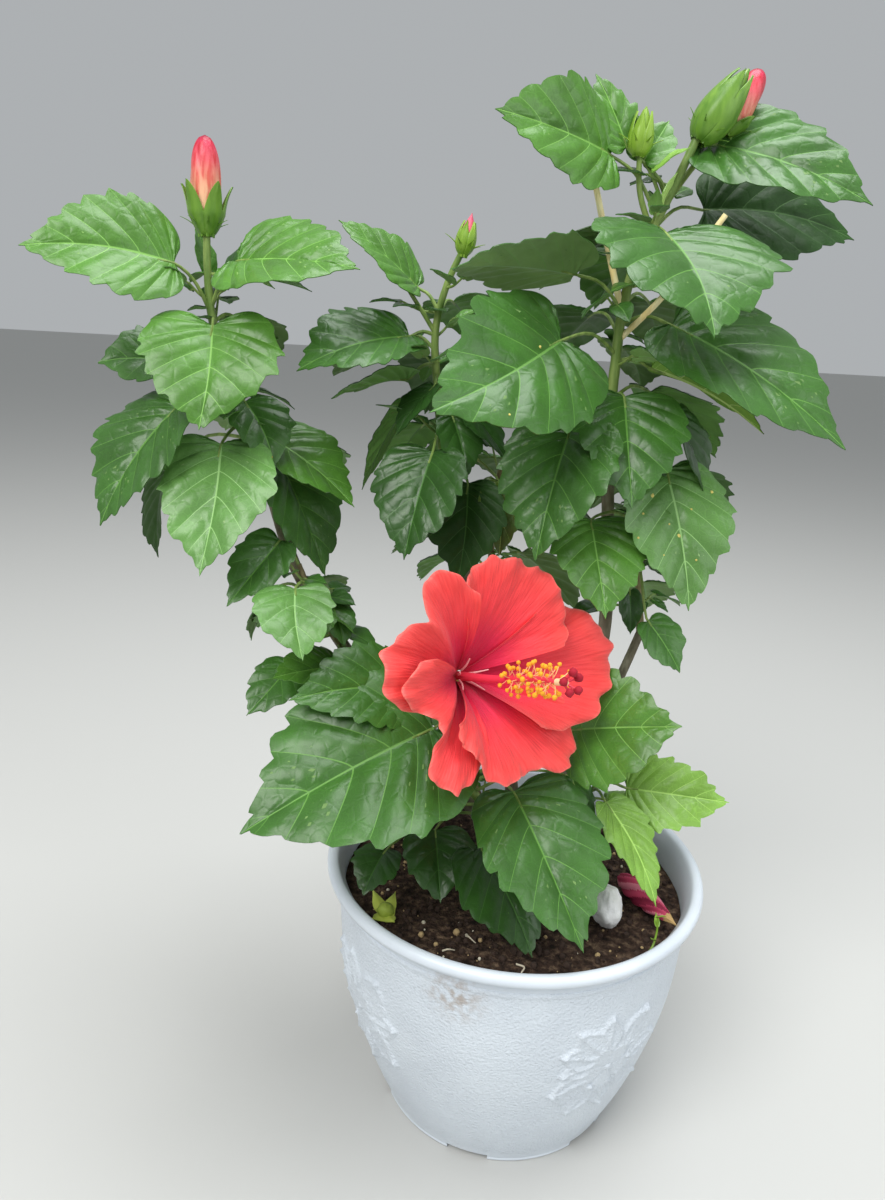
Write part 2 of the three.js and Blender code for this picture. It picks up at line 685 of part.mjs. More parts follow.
// Every mass gets its named leaves before any of them gets the leaves of its rule
const crown = Object.entries(MASSES).map(([name, made]) => {
  const curve = new THREE.CatmullRomCurve3(made.stem.path.map(vector));
  const bare = fuse([clearOfLimbs(massStem(made)), ...(made.extras ?? [])]);
  const shape = leafed(name, bare, curve, made.leaves ?? []);
  keepClear(name, shape);
  return { name, made, curve, shape };
});
for (const { name, made, curve, shape } of crown) {
  const full = made.ruled ? leafed(name, shape, curve, ruledLeaves(curve, made.ruled)) : shape;
  add(name, full, made.color ?? GREEN, 0.55);
}

function fallen({ base, aim, long, radius }) {
  return bud(base, aim, long, radius);
}

const pebble = new THREE.IcosahedronGeometry(1, 1).scale(...WHITE_STONE.size).translate(...WHITE_STONE.place);
add("white_stone", solid(pebble), STONE, 0.6);
add("withered_flower", fallen(WITHERED_FLOWER), WITHERED, 0.8);
add("fallen_calyx", fallen(FALLEN_CALYX), PALE_GREEN, 0.7);

export default plant;
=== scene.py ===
import math
from types import SimpleNamespace

import bpy
import numpy as np
from mathutils import Matrix, Vector, noise


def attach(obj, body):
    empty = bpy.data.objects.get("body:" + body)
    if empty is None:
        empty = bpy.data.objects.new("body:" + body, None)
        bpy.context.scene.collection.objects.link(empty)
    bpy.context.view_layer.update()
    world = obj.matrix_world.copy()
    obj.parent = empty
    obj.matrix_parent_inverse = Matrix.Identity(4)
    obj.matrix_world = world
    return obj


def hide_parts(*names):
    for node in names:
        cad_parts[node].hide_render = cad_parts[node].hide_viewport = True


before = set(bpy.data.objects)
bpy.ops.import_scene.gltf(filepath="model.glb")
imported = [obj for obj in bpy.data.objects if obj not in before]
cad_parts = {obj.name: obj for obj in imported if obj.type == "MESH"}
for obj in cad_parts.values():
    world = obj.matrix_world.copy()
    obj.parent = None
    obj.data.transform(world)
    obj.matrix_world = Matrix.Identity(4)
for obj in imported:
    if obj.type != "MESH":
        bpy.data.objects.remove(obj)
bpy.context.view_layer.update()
bpy.context.scene.view_settings.view_transform = "Standard"

# Sizes are in millimetres, and a piece is scaled to metres when its mesh is made
MM = 0.001
FULL_TURN = 2 * math.pi
UP = np.array((0, 0, 1))

# Leaves
HEART = 0.09
EGG = 0.45
POINTED = 0.4
WIDEST = 0.93
NOTCH = 0.07
BLUNT = 0.985
TIP_DRAWN = 0.1
FIRST_VEIN = 0.13
VEIN_RUN = 0.72
VEIN_LEAN = 2.5
SMALL_LEAF = 50
TINY_LEAF = 28
BIG = SimpleNamespace(veins=8, rows=5, across=(0, 0.08, 0.18, 0.3, 0.43, 0.56, 0.69, 0.81, 0.92, 1))
SMALL = SimpleNamespace(veins=6, rows=5, across=(0, 0.09, 0.2, 0.34, 0.5, 0.66, 0.8, 0.92, 1))
TINY = SimpleNamespace(veins=5, rows=2, across=(0, 0.2, 0.45, 0.7, 0.9, 1))
TOOTH = 0.12
DEEP_TOOTH = 0.19
TIP_FORWARD = 1.8
QUILT = 0.015
DEEP_QUILT = 0.022
RIPPLE = 0.5
RIPPLES_ACROSS = 3.2
LOPSIDED = 0.06
SWAY = 0.04
TWIST = 0.35
ARCH = 0.05
WAVE = 0.018
VEIN_WIDTH = 0.0021
MIDRIB = 0.75
RIB_SUNK = 0.006
BLADE_THICKNESS = 0.5
SCATTERED_SPOTS = ((0.4, 0.5, 1.5), (0.45, 0.7, 0.9), (0.3, 0.62, 0.7), (0.55, -0.3, 0.8), (0.36, -0.62, 1.1),
                   (0.62, 0.35, 0.7), (0.7, 0.2, 1.3), (0.75, -0.4, 0.7), (0.5, 0.84, 0.8), (0.66, 0.7, 0.6))
SEPAL_TURN = math.pi / 5
GOLDEN_ANGLE = 137.5
PETIOLE_RADIUS = 1.15
STALK_ARCH = 0.16

# Small side twigs: one for each stretch of stem, with two or three small leaves each
TWIG = SimpleNamespace(every=17, shortest=8, longest=20, root=0.9, tip=0.6, smallest=13, largest=26)

# Bloom: each petal has its middle, how far it spreads to both sides, and its reach from side to side
THROAT = np.array((-44.0, -60.0, 314.0))
BLOOM_HEADING = -53
BLOOM_PITCH = 17
BLOOM_DEPTH = 32
COLUMN_LENGTH = 82
COLUMN_BEHIND = 3
PETALS = (
    (-7, 48, (36, 51, 67, 77, 86, 83, 76, 63, 46)),
    (60, 48, (46, 57, 61, 65, 64, 63, 61, 54, 40)),
    (148, 48, (44, 61, 65, 53, 60, 66, 66, 58, 38)),
    (208, 52, (40, 56, 56, 44, 43, 59, 62, 56, 38)),
    (277, 64, (33, 40, 43, 54, 55, 58, 73, 65, 46)),
)
PETAL_START = 3
PETAL_FLARE = 1.7
PETAL_LAP = 4.5
PETAL_THICKNESS = 0.6
PETAL_ROWS = 44
PETAL_COLUMNS = 76
THROAT_RIDGES = (-55, 12, 100, 156, 213)
ANTHERS = 64
PADS = 5

# Pot and soil
WALL = 2.6
SKIN = 1.3
FLOOR = 8
FOOT_RADIUS = 76
FLOOR_RADIUS = 77.9
JOINT_RADIUS = 80.1
POT_WALL = ((77.5, 1.5), (91, 35), (104.5, 82), (109, 108), (111, 135), (112, 162))
WALL_STEP = 0.8
GROOVE = SimpleNamespace(height=155.5, half=1.2, deep=1.2, bead=0.6)
RELIEF = SimpleNamespace(low=48, high=134, middle=92, first=-60, repeats=4, raised=2, soft=2.6,
                         wide=1.12, tall=1.25)
DRAIN = SimpleNamespace(count=6, turn=14, start=28, end=120, width=26, height=4.5, hole_at=52, hole=6.5)
SMUDGE = (-37, -105, 145)
SOIL_TOP = 151
SOIL_FLAT = 24
SOIL_FALL = 3
SOIL_RADIUS = 108.4
SOIL_SIDES = 240
CRUMBS = 1200
GAP = 0.3


def rgb(red, green, blue):
    """A display colour of 0 to 255 as the linear colour that a material takes."""
    def linear(value):
        share = value / 255
        return share / 12.92 if share <= 0.04045 else ((share + 0.055) / 1.055) ** 2.4
    return (linear(red), linear(green), linear(blue), 1)


def shade(color, share):
    return tuple(min(1, value * share) for value in color[:3]) + (1,)


def unit(vector):
    return vector / np.linalg.norm(vector)


def towards(heading, pitch):
    """The unit vector of a heading round +Z from +X, and a pitch above the level, in degrees."""
    turn, rise = math.radians(heading), math.radians(pitch)
    return np.array((math.cos(rise) * math.cos(turn), math.cos(rise) * math.sin(turn), math.sin(rise)))


def turned(vector, axis, degrees):
    """A vector turned about a unit axis."""
    turn = math.radians(degrees)
    return (vector * math.cos(turn) + np.cross(axis, vector) * math.sin(turn)
            + axis * np.dot(axis, vector) * (1 - math.cos(turn)))


def chance(seed):
    """A repeatable number from 0 to 1 for each seed, or for each of an array of seeds."""
    wave = np.sin(seed * 12.9898) * 43758.5453
    return wave - np.floor(wave)


def ramp(value, low, high):
    """0 below the low value, 1 above the high one, and even between them."""
    return np.clip((value - low) / (high - low), 0, 1)


# Materials

def color_of(value):
    """The linear colour that a material takes: a grey's share, display values of 0 to 255, or itself."""
    if isinstance(value, (int, float)):
        return (value, value, value, 1)
    return rgb(*value) if len(value) == 3 else value


class Look:
    """A material, built up from its textures to the sockets of its shader."""

    def __init__(self, name, roughness=0.5, specular=0.5):
        self.material = bpy.data.materials.new(name)
        self.material.use_nodes = True
        self.tree = self.material.node_tree
        self.surface = self.tree.nodes["Principled BSDF"]
        self.surface.inputs["Roughness"].default_value = roughness
        self.surface.inputs["Specular IOR Level"].default_value = specular

    def node(self, kind, output, sockets, **settings):
        """One output of a new node, whose sockets take plain values or the outputs of other nodes."""
        made = self.tree.nodes.new("ShaderNode" + kind)
        for name, value in settings.items():
            setattr(made, name, value)
        for socket, value in sockets.items():
            if isinstance(value, bpy.types.NodeSocket):
                self.tree.links.new(value, made.inputs[socket])
            else:
                made.inputs[socket].default_value = value
        return made.outputs[output]

    def place(self, stretch=(1, 1, 1)):
        """The object's own coordinates, stretched along its axes."""
        own = self.node("TexCoord", "Object", {})
        return self.node("Mapping", "Vector", {"Vector": own, "Scale": stretch})

    def noise(self, scale, detail=4, stretch=(1, 1, 1)):
        return self.node("TexNoise", "Fac", {"Vector": self.place(stretch), "Scale": scale, "Detail": detail})

    def net(self, scale):
        """How far a point is from the nearest line of an irregular net."""
        sockets = {"Vector": self.place(), "Scale": scale}
        return self.node("TexVoronoi", "Distance", sockets, feature="DISTANCE_TO_EDGE")

    def distance(self, place):
        """How far a point is from a place of the object, in metres."""
        sockets = {0: self.place(), 1: [value * MM for value in place]}
        return self.node("VectorMath", "Value", sockets, operation="DISTANCE")

    def ramp(self, source, *stops):
        """Colours along a source from 0 to 1, given as (place, colour) pairs."""
        colors = self.tree.nodes.new("ShaderNodeValToRGB")
        while len(colors.color_ramp.elements) < len(stops):
            colors.color_ramp.elements.new(0.5)
        for element, (place, color) in zip(colors.color_ramp.elements, stops):
            element.position = place
            element.color = color_of(color)
        self.tree.links.new(source, colors.inputs["Fac"])
        return colors.outputs["Color"]

    def mix(self, factor, first, second, blend="MIX"):
        return self.node("Mix", 2, {0: factor, 6: first, 7: second}, data_type="RGBA", blend_type=blend)

    def bump(self, height, strength, distance):
        normal = self.node("Bump", "Normal", {"Height": height, "Strength": strength, "Distance": distance})
        self.tree.links.new(normal, self.surface.inputs["Normal"])

    def paint(self, color):
        """The finished material, in this colour."""
        self.tree.links.new(color, self.surface.inputs["Base Color"])
        return self.material


def plain(name, color, roughness=0.5, specular=0.5):
    look = Look(name, roughness, specular)
    look.surface.inputs["Base Color"].default_value = rgb(*color)
    return look.material


def mottled(name, roughness, specular, spots, stops, grain, strength, depth):
    """A skin whose colours follow one noise and whose relief follows another."""
    look = Look(name, roughness, specular)
    look.bump(look.noise(*grain), strength, depth)
    return look.paint(look.ramp(look.noise(*spots), *stops))


# Meshes

class Stock:
    """The points and faces of one piece, each face with the number of its material."""

    def __init__(self, *materials):
        self.materials = materials
        self.points = []
        self.faces = []
        self.slots = []
        self.uvs = []
        self.count = 0

    def add(self, points, faces, slots, uvs=None):
        points = np.asarray(points, float).reshape(-1, 3)
        self.points.append(points)
        self.faces += [[corner + self.count for corner in face] for face in faces]
        self.slots += slots if isinstance(slots, list) else [slots] * len(faces)
        self.uvs.append(np.zeros((len(points), 2)) if uvs is None else uvs)
        self.count += len(points)

    def add_rings(self, rings, slots):
        """A closed form through rings of points, flat at both ends."""
        rows, sides = np.shape(rings)[:2]
        ends = [tuple(reversed(range(sides))), tuple((rows - 1) * sides + i for i in range(sides))]
        self.add(rings, [*lattice(rows, sides, closed=True), *ends], slots)

    def make(self, name, node=None, sharp=50):
        """The finished object, which rides on the part and may stand for one of its nodes."""
        mesh = bpy.data.meshes.new(name)
        mesh.from_pydata((np.vstack(self.points) * MM).tolist(), [], self.faces)
        mesh.polygons.foreach_set("material_index", np.array(self.slots, dtype=np.int32))
        corners = np.zeros(len(mesh.loops), dtype=np.int32)
        mesh.loops.foreach_get("vertex_index", corners)
        layer = mesh.uv_layers.new(name="UVMap")
        layer.data.foreach_set("uv", np.vstack(self.uvs)[corners].astype(np.float32).ravel())
        for material in self.materials:
            mesh.materials.append(material)
        mesh.shade_smooth()
        mesh.set_sharp_from_angle(angle=math.radians(sharp))
        mesh.update()
        piece = bpy.data.objects.new(name, mesh)
        bpy.context.scene.collection.objects.link(piece)
        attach(piece, "root")
        if node:
            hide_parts(node)
        return piece


def lattice(rows, columns, closed=False, looped=False):
    """The four-sided faces of a lattice, closed round its columns or looped round its rows if asked."""
    faces = []
    for row in range(rows if looped else rows - 1):
        low, high = row * columns, (row + 1) % rows * columns
        for column in range(columns if closed else columns - 1):
            beside = (column + 1) % columns
            faces.append((low + column, low + beside, high + beside, high + column))
    return faces


def plate(stock, points, behind, slots, under=None, uvs=None):
    """A thin closed plate: a lattice of points, the same lattice behind it, and the rim between them."""
    under = slots if under is None else under
    rows, columns = points.shape[:2]
    size = rows * columns
    faces = lattice(rows, columns)
    number = np.arange(size).reshape(rows, columns)
    edge = [*number[0, :-1], *number[:-1, -1], *number[-1, :0:-1], *number[:0:-1, 0]]
    back = [tuple(corner + size for corner in reversed(face)) for face in faces]
    walls = [(b, a, a + size, b + size) for a, b in zip(edge, edge[1:] + edge[:1])]
    both = np.concatenate([points.reshape(-1, 3), (points + behind).reshape(-1, 3)])
    top, bottom = (given if isinstance(given, list) else [given] * len(faces) for given in (slots, under))
    stock.add(both, [*faces, *back, *walls], [*top, *bottom, *top[:1] * len(walls)],
              None if uvs is None else np.concatenate([uvs, uvs]))


def sheet_grid(rows, columns):
    """Shares along a sheet from 0 to 1 as a column, and across it from -1 to 1 as a row."""
    return np.linspace(0, 1, rows)[:, None], np.linspace(-1, 1, columns)[None, :]


def smooth(run, share):
    """A smooth curve's points at shares of its way through each of the spans between four points."""
    a, b, c, d = run
    return b + 0.5 * share * (c - a + share * (2 * a - 5 * b + 4 * c - d + share * (3 * (b - c) + d - a)))


def curve(path, count=160):
    """Points evenly spaced along the smooth curve through the points of a path."""
    given = [np.array(point, float) for point in path]
    run = [2 * given[0] - given[1], *given, 2 * given[-1] - given[-2]]
    share = np.linspace(0, 1, 24, endpoint=False)[:, None]
    fine = []
    for a, b, c, d in zip(run, run[1:], run[2:], run[3:]):
        before, within, after = (np.linalg.norm(q - p) ** 0.5 for p, q in ((a, b), (b, c), (c, d)))
        leave = within * ((b - a) / before - (c - a) / (before + within)) + (c - b)
        arrive = (c - b) - within * ((d - b) / (within + after) - (d - c) / after)
        bend = 3 * (c - b) - 2 * leave - arrive
        fine.append(b + leave * share + bend * share ** 2 + (2 * (b - c) + leave + arrive) * share ** 3)
    fine = np.vstack([*fine, given[-1][None]])
    reach = np.append(0, np.cumsum(np.linalg.norm(np.diff(fine, axis=0), axis=1)))
    even = np.linspace(0, reach[-1], count)
    return np.stack([np.interp(even, reach, fine[:, axis]) for axis in range(3)], axis=1)


def length_of(points):
    return np.linalg.norm(np.diff(points, axis=0), axis=1).sum()


def at(points, share):
    place = share * (len(points) - 1)
    low = min(int(place), len(points) - 2)
    return points[low] + (points[low + 1] - points[low]) * (place - low)


def even_turns(sides):
    return np.linspace(0, FULL_TURN, sides, endpoint=False)


def around(radius, turn, height):
    """The point at a radius, a turn and a height round +Z."""
    return np.array((radius * math.cos(turn), radius * math.sin(turn), height))


def tube(stock, path, root, tip, sides, steps, slot, flare=0, relief=None):
    """A tapering limb along a path, with an optional relief given as a share of its radius."""
    points = curve(path, steps + 1)
    ahead = np.gradient(points, axis=0)
    ahead /= np.linalg.norm(ahead, axis=1)[:, None]
    side = unit(np.cross(ahead[0], (0.3, 1, 0.2)))
    rings = []
    for step, (point, forward) in enumerate(zip(points, ahead)):
        side = unit(side - forward * np.dot(side, forward))
        across = np.cross(forward, side)
        share = step / steps
        radius = root + (tip - root) * share + flare * (1 - share) ** 4
        outs = [side * math.cos(turn) + across * math.sin(turn) for turn in even_turns(sides)]
        rings.append([point + out * radius * (1 + (relief(point, out) if relief else 0)) for out in outs])
    stock.add_rings(rings, slot)


# Leaves

def margin(share, heart):
    """The leaf's outline as shares of its length and half width, from the notch at its base to its tip."""
    turn = math.pi * share
    lobe = np.where(share < 1 / 3, heart * np.sin(3 * turn), 0)
    along = (1 - np.cos(turn)) / 2 - lobe
    drawn = 1 - np.exp(-(1 + np.cos(turn)) / 2 / TIP_DRAWN)
    across = np.sin(turn) * (1 + EGG * np.cos(turn)) * (1 - POINTED * share ** 4) * WIDEST * drawn
    return along, across


def leaf(share, base, aim, long, roll=0, wide=0.8, fold=12, heart=HEART, tooth=TOOTH, quilt=QUILT, spots=()):
    """A leaf on its stem: the share of the stem where it springs, its base, the way it points, its length."""
    return SimpleNamespace(
        share=share, base=np.array(base, float), heading=aim[0], pitch=aim[1], long=long,
        roll=roll, wide=wide, fold=fold, heart=heart, tooth=tooth, quilt=quilt, spots=spots)


def leaf_axes(made):
    forward = towards(made.heading, made.pitch)
    up = turned(towards(made.heading, made.pitch + 90), forward, made.roll)
    return forward, up, np.cross(forward, up)


def leaf_rows(grid):
    """A blade's rows: each one's share of the margin, the side of a vein it edges, the panels so far."""
    veins = grid.veins
    starts = [FIRST_VEIN + VEIN_RUN * vein / (veins - 1) for vein in range(veins)]
    rows = [(NOTCH + (starts[0] - NOTCH) * step / 3, 0, step / 3 - 1) for step in range(3)]
    for vein, start in enumerate(starts):
        rows += [(start, -1, vein), (start, 1, vein)]
        if vein < veins - 1:
            parts = [row / (grid.rows + 1) for row in range(1, grid.rows + 1)]
            rows += [(start + (starts[vein + 1] - start) * part, 0, vein + part) for part in parts]
    rest = BLUNT - starts[-1]
    return rows + [(starts[-1] + rest * step / 5, 0, veins - 1 + step / 6) for step in range(1, 6)]


def teeth(made, panels, sign):
    """How far the margin's uneven teeth stand out: rounded humps that lean to the tip, and sharp notches."""
    seed = made.long + made.heading + 5 * sign
    many = 0.85 + 0.35 * chance(seed)
    place = many * panels + 4 * chance(seed + 1) + 0.12 * np.sin(5 * panels + seed)
    tooth = np.floor(place)
    hump = np.sin(math.pi * (place - tooth) ** TIP_FORWARD) ** 0.7
    return hump * (0.6 + 0.8 * chance(tooth + seed)) - 0.5


def blade(stock, made, slots):
    """A leaf blade with sunken veins, quilted panels between them, and a toothed and waved margin."""
    forward, up, side = leaf_axes(made)
    long = made.long
    grid = TINY if long < TINY_LEAF else SMALL if long < SMALL_LEAF else BIG
    rows = leaf_rows(grid)
    share, band, panels = (np.array(column)[:, None] for column in zip(*rows))
    part = panels % 1
    out = np.array([*grid.across[::-1], *grid.across])[None, :]
    sign = np.array([-1] * len(grid.across) + [1] * len(grid.across))[None, :]
    luck = 2 * chance(long + made.heading + np.arange(4)) - 1

    # Outline
    share = share + band * VEIN_WIDTH * (1 - 0.65 * out)
    edge_along, edge_across = margin(share, made.heart)
    started = ramp(share, 0.2, 0.34) * ramp(1 - share, 0.01, 0.06)
    tooth = teeth(made, panels, sign) * started * out ** 6
    half = edge_across * made.wide * long / 2 * (1 + made.tooth * tooth) * (1 + LOPSIDED * sign * luck[0])
    middle = ((1 - np.cos(math.pi * share)) / 2) ** VEIN_LEAN
    along = middle + (edge_along - middle) * out ** 1.2 + 0.3 * made.tooth * made.wide * tooth
    rib = np.minimum(MIDRIB * (long / 90) ** 0.5 * (1 - 0.75 * middle), 0.5 * half + 0.05)
    across = sign * (rib + (half - rib) * out) + SWAY * luck[1] * long * np.sin(math.pi * along)

    # Relief
    slim = np.minimum(1, half / (0.16 * long))
    bulge = made.quilt * long * np.sin(math.pi * part) * np.sin(math.pi * out) ** 0.5 * slim
    ripple = RIPPLE * bulge * np.cos(FULL_TURN * (RIPPLES_ACROSS * out + part + 0.3 * np.sin(2.3 * panels)))
    wave = WAVE * long * np.sin(16 * share + 6 * luck[2] + 1.3 * sign) * out ** 2.5 * slim
    sunk = -RIB_SUNK * long * np.exp(-(out / 0.07) ** 2) * slim
    rise = np.abs(across) * math.tan(math.radians(made.fold)) * (1 - 0.3 * out ** 2)
    twist = TWIST * luck[3] / 2 * along * across
    height = 4 * ARCH * along * (1 - along) * long + rise + bulge + ripple + wave + sunk + twist
    points = (made.base + forward * (along * long)[..., None]
              + side * across[..., None] + up * height[..., None])
    top, vein, under = slots
    middle_column = len(grid.across) - 1
    marks = [vein if rows[row][1] == -1 or column == middle_column else top
             for row in range(len(rows) - 1) for column in range(2 * middle_column + 1)]
    under_marks = [vein if mark == vein else under for mark in marks]
    plate(stock, points[:, ::-1], -up * BLADE_THICKNESS, marks, under_marks)
    for down, over, radius in made.spots:
        place = points[int(down * (len(rows) - 1)), int((over + 1) * len(grid.across) * 0.999)]
        path = [place - up * 0.3, place + up * 0.1, place + up * 0.3]
        tube(stock, path, radius, 0.6 * radius, 8, 2, BLEMISH)


def neck_of(made, share):
    """A point of the midrib, just under the upper face."""
    forward, up, _ = leaf_axes(made)
    lift = 4 * ARCH * share * (1 - share) * made.long - RIB_SUNK * made.long - BLADE_THICKNESS / 2
    return made.base + forward * share * made.long + up * lift


def petiole(stock, made, start, slot, root=PETIOLE_RADIUS, tip=0.7):
    neck, inside = neck_of(made, 0), neck_of(made, 0.12)
    knee = (start + neck) / 2 + STALK_ARCH * np.linalg.norm(neck - start) * UP
    tube(stock, [start, knee, neck, inside], root, tip, 7, 10, slot)


def ruled_leaves(stem, count, seed, start, end, long, stalk, droop, heading, spread, without=()):
    """Leaves that the rule adds round a stem: a golden angle apart, each long and low by its own chance."""
    made = []
    for i in range(count):
        if i in without:
            continue
        pick = [chance(seed + 7.31 * i + 1.7 * draw) for draw in range(7)]
        share = start + (end - start) * (i + 0.5) / count
        turn = heading + spread * ((seed * 0.37 + i * GOLDEN_ANGLE / 360) % 1 - 0.5)
        base = at(stem, share) + towards(turn, 25 - 20 * pick[1]) * stalk * (0.75 + 0.5 * pick[2])
        aim = (turn + 30 * (pick[3] - 0.5), -droop * (0.6 + 0.7 * pick[4]))
        made.append(leaf(share, base, aim, long * (0.75 + 0.4 * pick[5]), 30 * (pick[6] - 0.5)))
    return made


# Limbs and masses of foliage

def growth(*leaves, path, root, tip, flare=0, tones="", rule=None):
    """A stem's path with its radii at root and tip, its named leaves with their tones, the rule for more."""
    return SimpleNamespace(path=path, root=root, tip=tip, flare=flare, leaves=leaves, tones=tones, rule=rule)


LIMBS = {
    "trunk": growth(
        root=8.2, tip=6.2, flare=4,
        path=((-2, 9, 151.3), (-2, 9, 158), (-1, 9, 168), (0, 10, 184))),
    "left_bough": growth(
        root=4.8, tip=3.3,
        path=((-1, 9, 164), (-22, 5, 190), (-66, -2, 246),
              (-104, -6, 296), (-140, -4, 350), (-158, -2, 400))),
    "middle_bough": growth(
        root=4.4, tip=3.1,
        path=((0, 10, 180), (-8, 15, 238), (-26, 18, 305), (-46, 17, 365), (-58, 14, 412))),
    "right_bough": growth(
        root=4.8, tip=3.4,
        path=((0, 9, 168), (20, 6, 204), (36, 3, 262), (43, 0, 328), (38, 0, 392), (33, 0, 438))),
    "rear_bough": growth(
        root=4, tip=2.8,
        path=((0, 10, 172), (-4, 34, 214), (-12, 58, 268), (-18, 70, 318))),
    "rear_right_bough": growth(
        root=4, tip=2.8,
        path=((0, 10, 166), (26, 32, 196), (58, 50, 250), (78, 56, 306))),
}

